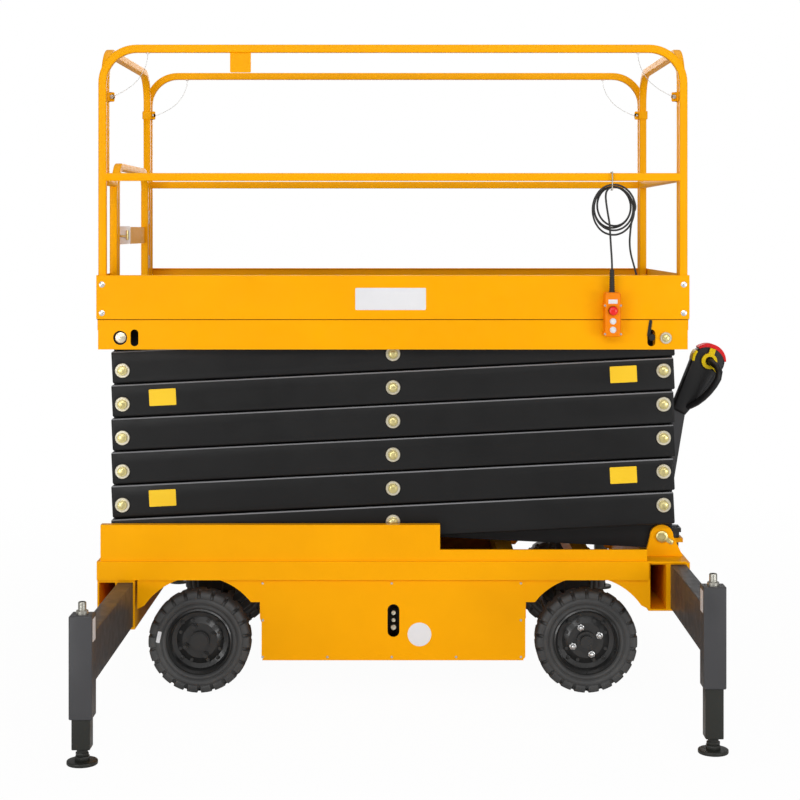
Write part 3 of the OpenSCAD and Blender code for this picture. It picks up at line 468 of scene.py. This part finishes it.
# Wheels: solid tyres of dark grey rubber with square shoulder lugs and moulded rings on their walls.
# The bolted rims are pressed steel in black gloss paint, and the front pair has bright domed nuts.
# A blank tag sticks to the rear right tyre.
corners = ("front_right", "front_left", "rear_right", "rear_left")
rim_black = finish("rim_black", dark=(0.012, 0.012, 0.012), light=(0.022, 0.022, 0.022),
                   gloss=(0.26, 0.38), grain=500, dimple=(0.05, 0.0005), coat=0.2)
dress(rim_black, *["rim_" + corner for corner in corners])
tyre_rubber = finish("tyre_rubber", dark=(0.036, 0.036, 0.037), light=(0.062, 0.062, 0.061),
                     gloss=(0.5, 0.68), grain=420, dimple=(0.2, 0.0008), cloud=9.0)


def held(value):
    """The value, kept between 0 and 1."""
    return min(max(value, 0), 1)


def moulded_tyre(corner, hub, radius, half_wide):
    """Solid tyre about its hub: ringed walls, and shoulder lugs half a pitch apart on the two sides."""
    lugs = 22
    steps_per_lug = 14
    groove = 0.27
    flank = 0.07
    depth = 0.011
    waist = 0.005
    lug_start, lug_run = 0.154, 0.012
    band_half, band_run = 0.012, 0.012
    drawn_half = 0.051
    bead = 0.109
    wall = (
        (bead, 0.0335), (bead + 0.009, 0.0402), (bead + 0.0115, 0.0455), (bead + 0.0140, 0.0478),
        (bead + 0.0180, 0.0484), (bead + 0.0215, 0.0472), (bead + 0.0235, 0.0446), (bead + 0.0255, 0.0446),
        (0.1375, 0.0480), (0.1415, 0.0500), (0.1460, 0.0508), (0.1495, 0.0500), (0.1520, 0.0476),
        (0.1540, 0.0474), (0.1560, 0.0492), (0.1620, 0.0495), (0.1690, 0.0486), (0.1740, 0.0464),
        (0.1778, 0.0426), (0.1802, 0.0376), (radius, 0.0320), (radius, 0.0220), (radius, 0.0090),
    )
    ring = [(r, y, 0.0) for r, y in wall] + [(r, -y, 0.5) for r, y in reversed(wall)]
    mesh = bmesh.new()
    loops = []
    for step in range(lugs * steps_per_lug):
        turn = step / steps_per_lug
        a = 2 * math.pi * turn / lugs
        loop = []
        for r, y, lag in ring:
            off = abs((turn + lag) % 1 - 0.5)
            cut = held((off - 0.5 + groove / 2) / flank)
            cut *= held((r - lug_start) / lug_run) * held((abs(y) - band_half) / band_run)
            r_cut = r - depth * cut
            y_cut = (y - math.copysign(waist * cut, y)) * half_wide / drawn_half
            loop.append(mesh.verts.new(hub + Vector((r_cut * math.cos(a), y_cut, r_cut * math.sin(a)))))
        loops.append(loop)
    for near, far in zip(loops, loops[1:] + loops[:1]):
        for k in range(len(ring)):
            mesh.faces.new((near[k - 1], near[k], far[k], far[k - 1]))
    piece = make("tread_" + corner, mesh, tyre_rubber, "wheel_" + corner, crease=40)
    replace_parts(piece, "tyre_" + corner)


def round_hub(hub, side, circle, base, a):
    """Seat on the outer side of a wheel, at an angle on a circle of bolts."""
    return facing(hub + Vector((circle * math.cos(a), side * base, circle * math.sin(a))), (0, side, 0))


quarters = (0, 90, 180, 270)
bolt_circle, bolt_base = 0.088, 0.0052
bolt_shank = ((0, -0.012), (0.0039, -0.012), (0.0039, 0.0095), (0.003, 0.0105), (0, 0.0105))
nut_circle, nut_base = 0.051, 0.016
bolt_turn, nut_turn = 45, 22
dome_r, dome_tall, dome_base = 0.0085, 0.0065, 0.016
dome_arc = [math.radians(18 * k) for k in range(5)]
nut_dome = [(0, 0.0104), (dome_r, 0.0104)]
nut_dome += [(dome_r * math.cos(a), dome_base + dome_tall * math.sin(a)) for a in dome_arc]
nut_dome.append((0, dome_base + dome_tall))
for corner in corners:
    wheel = "wheel_" + corner
    hub = Vector(joint_at["roll_" + corner])
    low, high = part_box("tyre_" + corner)
    moulded_tyre(corner, hub, (high.z - low.z) / 2, (high.y - low.y) / 2)
    side = right if corner.endswith("right") else left
    rim_bolts = bmesh.new()
    for quarter in quarters:
        spot = round_hub(hub, side, bolt_circle, bolt_base, math.radians(bolt_turn + quarter))
        place(rim_bolts, hexagon(0.0075, 0.0062), spot)
        place(rim_bolts, turned(bolt_shank, steps=20), spot)
    make("rim_bolts_" + corner, rim_bolts, rim_black, wheel)
    if corner.startswith("rear"):
        continue
    nuts = bmesh.new()
    for quarter in quarters:
        a = -side * math.radians(nut_turn + quarter)
        spot = round_hub(hub, side, nut_circle, nut_base, a)
        place(nuts, hexagon(0.0128, 0.0105), moved(spot, roll=a))
        place(nuts, turned(nut_dome, steps=24), spot)
    make("wheel_nuts_" + corner, nuts, bright_steel, wheel)

tag_turn = math.radians(172)
tag_tilt = math.radians(-12)
tag_circle = 0.143
tag_face = -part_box("tyre_rear_right")[0].y - 0.0012
rear_hub = Vector(joint_at["roll_rear_right"])
tag_x = rear_hub.x + tag_circle * math.cos(tag_turn)
tag_z = rear_hub.z + tag_circle * math.sin(tag_turn)
tag = bmesh.new()
place(tag, plate(0.013, 0.040, thick=0.001, corner=0.002),
      moved(on_side(right, tag_x, tag_face, tag_z), roll=tag_tilt))
make("tyre_tag", tag, blank_white, "wheel_rear_right")

# Tiller: a dark grey tube on a steering column, with a moulded head.
# The head's thumb levers and the strip behind them are yellow plastic, and its cap is red.
dress(axle_black, "tiller_column")
leg_grey = finish("leg_grey", dark=(0.048, 0.048, 0.051), light=(0.062, 0.062, 0.066),
                  gloss=(0.38, 0.5), grain=600, dimple=(0.06, 0.0006), shine=0.3)
dress(leg_grey, "tiller_shaft")
head_plastic = finish("head_plastic", dark=(0.010, 0.010, 0.011), light=(0.017, 0.017, 0.018),
                      gloss=(0.38, 0.5), grain=900, dimple=(0.1, 0.0004), shine=0.3)
thumb_yellow = finish("thumb_yellow", dark=(0.98, 0.66, 0.0), light=(1.0, 0.74, 0.0),
                      gloss=(0.28, 0.4), grain=700, dimple=(0.05, 0.0004), shine=0.2)
dress(thumb_yellow, "tiller_controls")
cap_red = finish("cap_red", dark=(0.80, 0.016, 0.020), light=(0.90, 0.030, 0.034),
                 gloss=(0.42, 0.52), grain=700, dimple=(0.04, 0.0003), shine=0.15)
flat = math.radians(0.5)
sharp = math.radians(60)


def soften(node, name, radius, material, body):
    """A CAD piece with its square outer edges rounded, in the same place."""
    least_room = 2.2 * radius
    mesh = bmesh.new()
    mesh.from_mesh(nodes[node].data)
    bmesh.ops.remove_doubles(mesh, verts=mesh.verts, dist=1e-5)
    bmesh.ops.dissolve_limit(mesh, angle_limit=flat, verts=mesh.verts, edges=mesh.edges)
    square = []
    for edge in mesh.edges:
        if len(edge.link_faces) != 2 or not edge.is_convex:
            continue
        room = min(face.calc_area() for face in edge.link_faces) / edge.calc_length()
        if sharp < edge.calc_face_angle() < math.pi - sharp and room > least_room:
            square.append(edge)
    round_off(mesh, square, radius)
    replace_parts(make(name, mesh, material, body, crease=32), node)


def moulded(thick, radius, outline):
    """Plate with round rims."""
    form = sheet_metal(thick, outline)
    bmesh.ops.dissolve_limit(form, angle_limit=flat, verts=form.verts, edges=form.edges)
    round_off(form, [edge for edge in form.edges if edge.calc_face_angle() > sharp], radius)
    return form


soften("tiller_head", "tiller_moulding", 0.009, head_plastic, "tiller")
shaft_lean, head_lean = math.radians(9.5), math.radians(17.5)
shaft_long = 0.430
head_seat = Matrix.Translation(joint_at["tiller_tilt"]) @ Matrix.Rotation(shaft_lean, 4, "Y")
head_seat = head_seat @ Matrix.Translation((0, 0, shaft_long)) @ Matrix.Rotation(head_lean, 4, "Y")
nose = Vector((0.014, 0.213))
nose_r = 0.062


def nose_band(first, last, outer, thick, bulge):
    """Outline of a crescent round the nose between two angles, thicker in its middle."""
    steps = 24
    rim, inside = [], []
    for i in range(steps + 1):
        a = math.radians(first + (last - first) * i / steps)
        way = Vector((math.cos(a), math.sin(a)))
        rim.append(nose + way * outer)
        inside.append(nose + way * (outer - thick - bulge * math.sin(math.pi * i / steps)))
    return rim + inside[::-1]


def across_head(half, radius, outline):
    """Mesh of a moulding that reaches equally far to both sides of the head's middle."""
    mesh = bmesh.new()
    place(mesh, moulded(2 * half, radius, outline), head_seat @ facing((0, half, 0), (0, -1, 0)))
    return mesh


cap_half = 0.0348
cap_outline = nose_band(first=24, last=154, outer=nose_r + 0.0046, thick=0.0075, bulge=0.0085)
cap = across_head(cap_half, 0.002, cap_outline)
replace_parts(make("nose_cap", cap, cap_red, "tiller"), "tiller_cap")
strip_outline = nose_band(first=166, last=206, outer=nose_r + 0.0030, thick=0.0105, bulge=0.0)
strip = across_head(cap_half, 0.002, strip_outline)
make("nose_strip", strip, thumb_yellow, "tiller")
guard_half = 0.030
guard_outline = ((0.030, 0.040), (0.050, 0.062), (0.066, 0.092), (0.076, 0.130), (0.076, 0.160),
                 (0.062, 0.184), (0.040, 0.184))
guard = across_head(guard_half, 0.008, guard_outline)
make("hand_guard", guard, head_plastic, "tiller")

# Scissor arms: rectangular steel tube in satin black, round along its edges, welded to cross tubes.
# Each pin is kept by a passivated washer and a bolt. On two stages, the outer arms carry a blank
# yellow plate near each end.
stages = 6
# The round upper edges of the arm tubes are painted light grey: a painted highlight where the tops catch
# the light.
arm_black = finish("arm_black", dark=(0.0085, 0.0085, 0.0088), light=(0.0125, 0.0125, 0.0128),
                   gloss=(0.34, 0.46), grain=600, dimple=(0.05, 0.0006), cloud=2.0, shine=0.2,
                   highlight_colour=(0.26, 0.26, 0.27))
label_yellow = finish("label_yellow", dark=(0.92, 0.56, 0.0), light=(1.0, 0.64, 0.004),
                      gloss=(0.35, 0.45), grain=900, dimple=(0.03, 0.0002))
dress(arm_black, *["inner_arms_%d" % (k + 1) for k in range(stages)])
arm_face = 0.515
half_span = pivot.x - mid_x
half_rise = joint_at["cross_1"][2] - pivot.z
pin_skew = 0.012
arm_tilt = math.atan2(half_rise - pin_skew, half_span)
washer = ((0, 0), (0.0262, 0), (0.0262, 0.0042), (0.0250, 0.0056), (0, 0.0056))
bolt_rim = 0.0148
bolt_head = ((0, 0.005), (0.0174, 0.005), (0.0172, 0.0140), (0.0164, bolt_rim), (0, 0.0150))
labelled_stages = (2, 5)
label_x, label_lift = 0.823, 0.006
for k in range(1, stages + 1):
    centre = Vector(joint_at["cross_%d" % k])
    body = "outer_%d" % k
    soften("outer_arms_%d" % k, "outer_arm_tubes_%d" % k, 0.006, arm_black, body)
    pins = [(0, 0)]
    if k > 1:
        pins.append((-half_span, -half_rise))
    if k < stages:
        pins.append((half_span, half_rise))
    washers, bolts = bmesh.new(), bmesh.new()
    for side in (right, left):
        for i, (x, z) in enumerate(pins):
            seat = on_side(side, centre.x + x, arm_face, centre.z + z)
            place(washers, turned(washer), seat)
            place(bolts, turned(bolt_head), seat)
            place(bolts, hexagon(0.0128, 0.0020, chamfer=0.0005), moved(seat, z=bolt_rim, roll=i + k))
    make("pin_washers_%d" % k, washers, pale_zinc, body)
    make("pin_bolts_%d" % k, bolts, zinc, body)
    if k not in labelled_stages:
        continue
    labels = bmesh.new()
    for side in (right, left):
        for x in (-label_x, label_x):
            seat = on_side(side, mid_x + x, arm_face, centre.z + x * math.tan(arm_tilt) + label_lift)
            place(labels, plate(0.096, 0.059, thick=0.0005, corner=0.003),
                  moved(seat, roll=-side * arm_tilt))
    make("arm_plates_%d" % k, labels, label_yellow, body)

# Lift cylinders: black barrels and chromed rods.
# They lie between the arms of the lower stages and hardly show until the machine lifts.
dress(axle_black, "cylinder_barrels")
rod_chrome = finish("rod_chrome", dark=(0.55, 0.55, 0.56), light=(0.66, 0.66, 0.67),
                    gloss=(0.08, 0.16), grain=300, dimple=(0.02, 0.0004), metal=1.0)
dress(rod_chrome, "cylinder_rods")

# Platform: a channel frame with a tread plate deck and folded toe boards, in the same enamel.
# Bright bolts hold the toe boards at their ends, a thin dark strip of painted shade runs under them where
# they meet the frame, and a blank white plate sits in the middle of each side.
dress(yellow_enamel, "platform_frame", "toe_boards")
deck_steel = finish("deck_steel", dark=(0.20, 0.20, 0.20), light=(0.30, 0.30, 0.29),
                    gloss=(0.35, 0.5), grain=300, dimple=(0.1, 0.001), metal=0.6)
dress(deck_steel, "platform_deck")
board_low, board_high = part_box("toe_boards")
board_face = -board_low.y
board_bolt_x, board_bolt_z = (-1.030, 1.030), (1.449, 1.348)
board_washer = ((0, 0), (0.0105, 0), (0.0105, 0.0012), (0.0095, 0.0018), (0, 0.0018))
plate_x, plate_z = mid_x - 0.008, 1.398
bolts, plates = bmesh.new(), bmesh.new()
for side in (right, left):
    for x in board_bolt_x:
        for z in board_bolt_z:
            seat = on_side(side, mid_x + x, board_face, z)
            place(bolts, turned(board_washer, steps=24), seat)
            place(bolts, hexagon(0.0078, 0.0055), moved(seat, z=0.0017))
    place(plates, plate(0.250, 0.078, thick=0.001, corner=0.004),
          on_side(side, plate_x, board_face, plate_z))
make("toe_board_bolts", bolts, bright_steel, "platform")
# Painted shade: a thin dark brown strip under each toe board stands in for the shadow line where the board
# meets the frame.
painted_shade_strip = finish("painted_shade_strip", dark=(0.10, 0.035, 0.0), light=(0.16, 0.06, 0.0),
                   gloss=(0.6, 0.8), grain=400, dimple=(0.1, 0.0002), shine=0.1)
shade_strip_tall = 0.0022
shade_strip_inset = 0.002
shade_strip_long = board_high.x - board_low.x - 2 * shade_strip_inset
shade_strips = bmesh.new()
for side in (right, left):
    place(shade_strips, plate(shade_strip_long, shade_strip_tall, thick=0.0003, corner=0.001),
          on_side(side, mid_x, board_face, board_low.z - shade_strip_tall))
make("toe_board_shade_strips", shade_strips, painted_shade_strip, "platform")
make("blank_plates", plates, blank_white, "platform")

# Top pins: a pale zinc boss with a yellow zinc bolt at the fixed end, and a low bolt on each top roller
# at the sliding end. A black drop catch hangs in the front slot of the right side.
top_pin = Vector(joint_at["platform_level"])
pin_reach, roller_reach = 0.576, 0.556
boss = ((0, -0.0078), (0.0208, -0.0078), (0.0208, -0.001), (0.0196, 0.0006), (0, 0.0006))
boss_washer = ((0, 0.0004), (0.0135, 0.0004), (0.0135, 0.0022), (0.0125, 0.003), (0, 0.003))
roller_washer = ((0, 0), (0.0190, 0), (0.0190, 0.0006), (0.0182, 0.0010), (0, 0.0010))
bosses, heads, ends = bmesh.new(), bmesh.new(), bmesh.new()
for side in (right, left):
    seat = on_side(side, top_pin.x, pin_reach, top_pin.z)
    place(bosses, turned(boss), seat)
    place(heads, turned(boss_washer), seat)
    place(heads, hexagon(0.0112, 0.0075), moved(seat, z=0.002))
    roller = on_side(side, 2 * mid_x - top_pin.x, roller_reach, top_pin.z)
    place(ends, turned(roller_washer), roller)
    place(ends, hexagon(0.0115, 0.0014, chamfer=0.0004), moved(roller, z=0.0008))
make("top_pin_bosses", bosses, pale_zinc, "outer_6")
make("top_pin_bolts", heads, zinc, "outer_6")
make("top_roller_bolts", ends, pale_zinc, "inner_6")

catch_x, catch_z = mid_x + 0.915, 1.318
catch_tilt = math.radians(-8)
catch_weight = ((0, 0), (0.010, 0), (0.0125, 0.003), (0.0125, 0.006), (0.010, 0.009), (0, 0.0095))
catch_seat = on_side(right, catch_x, -frame_low.y, catch_z)
catch = bmesh.new()
place(catch, plate(0.011, 0.058, thick=0.004, corner=0.004),
      moved(catch_seat, x=-0.006, y=-0.024, roll=catch_tilt))
place(catch, turned(catch_weight, steps=24), moved(catch_seat, x=0.001, y=-0.056))
make("drop_catch", catch, head_plastic, "platform")


# Deck tread: raised lozenges on the deck plate, lengthwise and crosswise by turns.
# A plain rim stays free round the edge of the plate.
def make_tread():
    pitch = 0.032
    rim = 0.032
    start = 0.2
    long, short, tall = 0.0125, 0.0032, 0.0012
    crest_share = 0.55
    points = ((1, 0), (0, 1), (-1, 0), (0, -1))
    low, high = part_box("platform_deck")
    across = int((high.x - low.x - 2 * rim) / pitch)
    along = int((high.y - low.y - 2 * rim) / pitch)
    mesh = bmesh.new()
    for i in range(across + 1):
        for j in range(along + 1):
            x, y = low.x + rim + pitch * (i + start), low.y + rim + pitch * (j + start)
            dx, dy = (long, short) if (i + j) % 2 == 0 else (short, long)
            rings = []
            for share, z in ((1, high.z), (crest_share, high.z + tall)):
                rings.append([mesh.verts.new((x + u * dx * share, y + v * dy * share, z))
                              for u, v in points])
            base, crest = rings
            for k in range(len(points)):
                mesh.faces.new((base[k - 1], base[k], crest[k], crest[k - 1]))
            mesh.faces.new(crest)
    make("deck_tread", mesh, deck_steel, "platform")


make_tread()

# Guard rails and gate: bent square tube with round edges, welded and sprayed before they are bolted on.
# The locking pins of the rails and the cable hook are dull steel.
rail_round = 0.0045
for node in ("side_rail_right", "side_rail_left", "end_rail_front", "end_rail_rear"):
    soften(node, node + "_tube", rail_round, yellow_enamel, "platform")
soften("gate", "gate_tube", rail_round, yellow_enamel, "gate")
dress(dull_steel, "rail_hardware")

# Gate hinges and latch: bright steel barrels on the hinge line.
# A pale latch plate with a zinc sliding bolt sits on the gate's lock plate.
hinge = Vector(joint_at["gate_swing"])
hinge_rises = (0.180, 0.364)
barrel = ((0, -0.0275), (0.0126, -0.0275), (0.0126, 0.0275), (0, 0.0275))
barrels = bmesh.new()
for rise in hinge_rises:
    place(barrels, turned(barrel, steps=24), Matrix.Translation((hinge.x, hinge.y, hinge.z + rise)))
make("hinge_barrels", barrels, bright_steel, "gate")
latch_x, latch_y, latch_z = mid_x - 0.998, -0.262, hinge.z + 0.292
bolt_y = latch_y - 0.009
latch_rod = ((0, -0.018), (0.0042, -0.018), (0.0048, -0.016), (0.0048, 0.016), (0.0042, 0.018), (0, 0.018))
latch_stem = ((0, -0.016), (0.0036, -0.016), (0.0036, 0.016), (0, 0.016))
latch_seat = facing((latch_x, latch_y, latch_z), (0, -1, 0))
rod_seat = facing((latch_x + 0.010, bolt_y, latch_z), (0, 0, 1), up=(0, 1, 0))
stem_seat = facing((latch_x - 0.002, bolt_y, latch_z - 0.004), (1, 0, 0))
latch, latch_bolt = bmesh.new(), bmesh.new()
place(latch, plate(0.040, 0.066, thick=0.003, corner=0.004), latch_seat)
place(latch_bolt, turned(latch_rod, steps=16), rod_seat)
place(latch_bolt, turned(latch_stem, steps=16), stem_seat)
make("gate_latch", latch, blank_white, "gate")
make("gate_bolt", latch_bolt, zinc, "gate")

# Pendant: an orange moulded box with a red stop knob, two white buttons and a ribbed black boot.
# It hangs on the right toe board by the strap on its back.
orange_plastic = finish("orange_plastic", dark=(0.90, 0.225, 0.0), light=(0.97, 0.255, 0.0),
                        gloss=(0.32, 0.42), grain=800, dimple=(0.05, 0.0004), shine=0.15)
knob_red = finish("knob_red", dark=(0.80, 0.008, 0.006), light=(0.90, 0.012, 0.010),
                  gloss=(0.2, 0.28), grain=600, dimple=(0.03, 0.0003))
black_rubber = finish("black_rubber", dark=(0.012, 0.012, 0.012), light=(0.020, 0.020, 0.020),
                      gloss=(0.45, 0.6), grain=700, dimple=(0.12, 0.0003))
pendant_x = mid_x + 0.772
pendant_front, pendant_back = -0.630, -0.576
pendant_low, pendant_high = 1.267, 1.423
deep = pendant_back - pendant_front
strap_thick, strap_z = 0.006, 1.375
knob_rise = 0.014
ears = [(x, y) for x in (-0.0275, 0.0275) for y in (-0.068, 0.032)]
ear_top = deep - 0.002
ear = ((0, 0.006), (0.0068, 0.006), (0.0068, deep - 0.004), (0.0058, ear_top), (0, ear_top))
collar = ((0, 0), (0.0215, 0), (0.0215, 0.002), (0.0205, 0.003), (0.017, 0.003), (0.017, 0.0005),
          (0, 0.0005))
body_seat = facing((pendant_x, pendant_back, (pendant_low + pendant_high) / 2), (0, -1, 0))
shell = bmesh.new()
place(shell, soft_block((0.057, pendant_high - pendant_low, deep), radius=0.007, segments=4), body_seat)
place(shell, plate(0.050, 0.056, strap_thick, corner=0.004),
      facing((pendant_x, pendant_back + strap_thick, strap_z), (0, -1, 0)))
for x, y in ears:
    place(shell, turned(ear, steps=20), moved(body_seat, x, y))
place(shell, turned(collar, steps=40), moved(body_seat, y=knob_rise, z=deep - 0.0005))
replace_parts(make("pendant_shell", shell, orange_plastic, "platform"), "pendant_box")

boot_y = -0.600
rib_pitch = 0.008
rib_deep = 0.0016
boot_profile = [(0, 0), (0.0115, 0)]
for i in range(9):
    r, z = 0.0102 - 0.0002 * i, rib_pitch * i
    boot_profile += [(r, z + 0.002), (r, z + 0.006), (r - rib_deep, z + 0.0068), (r - rib_deep, z + 0.0092)]
boot_profile += [(0.0082, 0.0785), (0.006, 0.080), (0, 0.080)]
boot = bmesh.new()
place(boot, turned(boot_profile), Matrix.Translation((pendant_x, boot_y, pendant_high)))
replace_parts(make("pendant_boot", boot, black_rubber, "platform"), "pendant_box")

knob_profile = ((0, 0), (0.0105, 0), (0.0105, 0.010), (0.0150, 0.0115), (0.0158, 0.0145), (0.0150, 0.0180),
                (0.0115, 0.0205), (0.006, 0.0217), (0, 0.022))
knob = bmesh.new()
place(knob, turned(knob_profile, steps=40), moved(body_seat, y=knob_rise, z=deep))
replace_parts(make("stop_knob", knob, knob_red, "platform"), "pendant_buttons")
button_rises = (-0.053, -0.023)
button = ((0, 0), (0.0112, 0), (0.0112, 0.003), (0.0095, 0.0036), (0.0088, 0.003), (0.0088, 0.0065),
          (0.007, 0.0078), (0, 0.0074))
tag_rise = 0.046
buttons = bmesh.new()
for rise in button_rises:
    place(buttons, turned(button), moved(body_seat, y=rise, z=deep))
place(buttons, plate(0.032, 0.015, thick=0.0006, corner=0.0015), moved(body_seat, y=tag_rise, z=deep))
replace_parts(make("push_buttons", buttons, blank_white, "platform"), "pendant_buttons")
ear_screw = ((0, 0), (0.0044, 0), (0.0036, 0.0014), (0, 0.0016))
pendant_screws = bmesh.new()
for x, y in ears:
    place(pendant_screws, turned(ear_screw, steps=16), moved(body_seat, x, y, ear_top))
make("pendant_screws", pendant_screws, bright_steel, "platform")
dress(black_rubber, "cable_gland")


# Pendant cable: up from the boot to the wire hook, four turns over it, and down to the gland on the deck.
# Lanyards: thin wires from white rivets under the top rails to the heads of the locking pins.
def make_cord(name, points, radius, material, body):
    """Round cord along a smooth curve through its points."""
    curve = bpy.data.curves.new(name, "CURVE")
    curve.dimensions = "3D"
    curve.resolution_u = 6
    curve.bevel_depth = radius
    curve.bevel_resolution = 3
    curve.use_fill_caps = True
    spline = curve.splines.new("BEZIER")
    spline.bezier_points.add(len(points) - 1)
    for knot, point in zip(spline.bezier_points, points):
        knot.co = point
        knot.handle_left_type = knot.handle_right_type = "AUTO"
    curve.materials.append(material)
    cord = bpy.data.objects.new(name, curve)
    bpy.context.scene.collection.objects.link(cord)
    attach(cord, body)
    return cord


turns = 4.26
steps_per_turn = 20


def hank(t):
    """Point of the hanging turns, t of them after the hook, clockwise as seen from the right side.

    Three turns lie side by side. The fourth comes forward again, over the others, and runs out.
    """
    hook_x, hook_z = mid_x + 0.782, 1.7948
    half_widths = (0.069, 0.059, 0.065, 0.0755, 0.0755)
    half_heights = (0.0770, 0.0690, 0.0725, 0.0850, 0.0850)
    sway = (0.001, 0.005, -0.004, 0.0, 0.0)
    pitch = 0.0078
    laid, whole = 3, 4
    first_y, front_y, run_out = -0.564, -0.5728, 0.0028
    forward_from, forward_over = 3.3, 0.42
    rise_from, rise_over = 3.6, 0.3
    back_y = first_y + laid * pitch
    if t <= laid:
        y = first_y + pitch * t
    elif t <= whole:
        y = back_y + (front_y - back_y) * held((t - forward_from) / forward_over)
    else:
        y = front_y - run_out * (t - whole) / (turns - whole)
    a = 2 * math.pi * t
    turn = int(t)
    drop = (1 - math.cos(a)) / 2
    x = hook_x + half_widths[turn] * math.sin(a) + sway[turn] * drop
    z = hook_z - 2 * half_heights[turn] * drop + pitch * held((t - rise_from) / rise_over)
    return (x, y, z)


cable_up = (
    (0.772, -0.600, 1.503), (0.772, -0.600, 1.518), (0.771, -0.599, 1.545), (0.769, -0.596, 1.580),
    (0.767, -0.592, 1.620), (0.7645, -0.588, 1.665), (0.760, -0.5852, 1.695), (0.756, -0.5822, 1.722),
    (0.7534, -0.5790, 1.745), (0.753, -0.5756, 1.7648), (0.757, -0.5724, 1.7798), (0.768, -0.5680, 1.7906),
)
cable_down = (
    (0.8485, -0.5775, 1.700), (0.8465, -0.581, 1.684), (0.843, -0.582, 1.668), (0.839, -0.578, 1.632),
    (0.838, -0.571, 1.596), (0.843, -0.561, 1.560), (0.853, -0.551, 1.525), (0.863, -0.544, 1.492),
    (0.871, -0.541, 1.458), (0.877, -0.541, 1.424), (0.880, -0.541, 1.392), (0.880, -0.541, 1.370),
    (0.880, -0.541, 1.356),
)
cable_route = [(mid_x + x, y, z) for x, y, z in cable_up]
cable_route += [hank(i / steps_per_turn) for i in range(int(turns * steps_per_turn) + 1)]
cable_route += [(mid_x + x, y, z) for x, y, z in cable_down]
cable = make_cord("pendant_lead", cable_route, 0.0035, black_rubber, "platform")
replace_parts(cable, "pendant_cable", "pendant_coil")

wire_steel = finish("wire_steel", dark=(0.62, 0.62, 0.60), light=(0.75, 0.75, 0.73),
                    gloss=(0.3, 0.4), grain=900, dimple=(0.1, 0.0002), metal=0.8)
wire_route = (
    (0.870, 0.553, 2.271), (0.870, 0.553, 2.262), (0.872, 0.552, 2.246), (0.877, 0.550, 2.228),
    (0.885, 0.547, 2.209), (0.896, 0.544, 2.191), (0.909, 0.541, 2.174), (0.924, 0.538, 2.160),
    (0.940, 0.535, 2.148), (0.956, 0.532, 2.138), (0.971, 0.529, 2.130), (0.984, 0.526, 2.124),
    (0.995, 0.523, 2.120), (1.002, 0.520, 2.118), (1.004, 0.517, 2.118),
)
rivet = ((0.0022, 0), (0.0062, 0), (0.0062, 0.003), (0.0045, 0.0045), (0.0022, 0.0045))
rivets = bmesh.new()
for end, sx in (("front", 1), ("rear", -1)):
    for hand, side in (("left", left), ("right", right)):
        route = [(mid_x + sx * x, side * y, z) for x, y, z in wire_route]
        wire = make_cord("lanyard_%s_%s" % (end, hand), route, 0.001, wire_steel, "platform")
        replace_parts(wire, "pin_lanyards")
        place(rivets, turned(rivet, steps=16), facing(route[0], (0, 0, -1), (0, 1, 0)))
make("lanyard_rivets", rivets, blank_white, "platform")

# Outriggers: box tube arms and legs in dark grey paint, round along their edges, with blacker screw jacks
# inside. A dull steel screw end stands on each leg, a blank pale label sits on its inner face, and two
# nuts hold the pad.
jack_black = finish("jack_black", dark=(0.018, 0.019, 0.016), light=(0.026, 0.027, 0.023),
                    gloss=(0.34, 0.46), grain=500, dimple=(0.08, 0.0006), shine=0.3)
label_pale = finish("label_pale", dark=(0.62, 0.60, 0.60), light=(0.72, 0.70, 0.70),
                    gloss=(0.35, 0.45), grain=900, dimple=(0.03, 0.0002))
screw_end = ((0, -0.0385), (0.0188, -0.0385), (0.0188, -0.0275), (0.0175, -0.0258), (0.0126, -0.0258),
             (0.0126, -0.003), (0.0112, 0.0), (0, 0.0))
pad_nuts = ((0.0118, 0.0245, 0.014, 0), (0.0270, 0.0215, 0.010, 0.4))
leg_half = 0.036
label_drop = 0.085
for corner in corners:
    leg, jack = "outrigger_" + corner, "jack_" + corner
    soften(leg, leg + "_tube", 0.0045, leg_grey, leg)
    soften(jack, "jack_tube_" + corner, 0.003, jack_black, jack)
    low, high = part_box(jack)
    axis = (low + high) / 2
    leg_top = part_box(leg)[1].z
    stub, nuts, label = bmesh.new(), bmesh.new(), bmesh.new()
    place(stub, turned(screw_end), Matrix.Translation((axis.x, axis.y, leg_top)))
    make("screw_end_" + corner, stub, dull_steel, leg)
    for rise, radius, height, roll in pad_nuts:
        foot = Matrix.Translation((axis.x, axis.y, low.z + rise))
        place(nuts, hexagon(radius, height, chamfer=0.0012), moved(foot, roll=roll))
    make("pad_nuts_" + corner, nuts, jack_black, jack)
    inward = -1 if axis.x > mid_x else 1
    spot = (axis.x + inward * leg_half, axis.y, leg_top - label_drop)
    place(label, plate(0.048, 0.070, thick=0.0005, corner=0.003), facing(spot, (inward, 0, 0)))
    make("leg_label_" + corner, label, label_pale, leg)
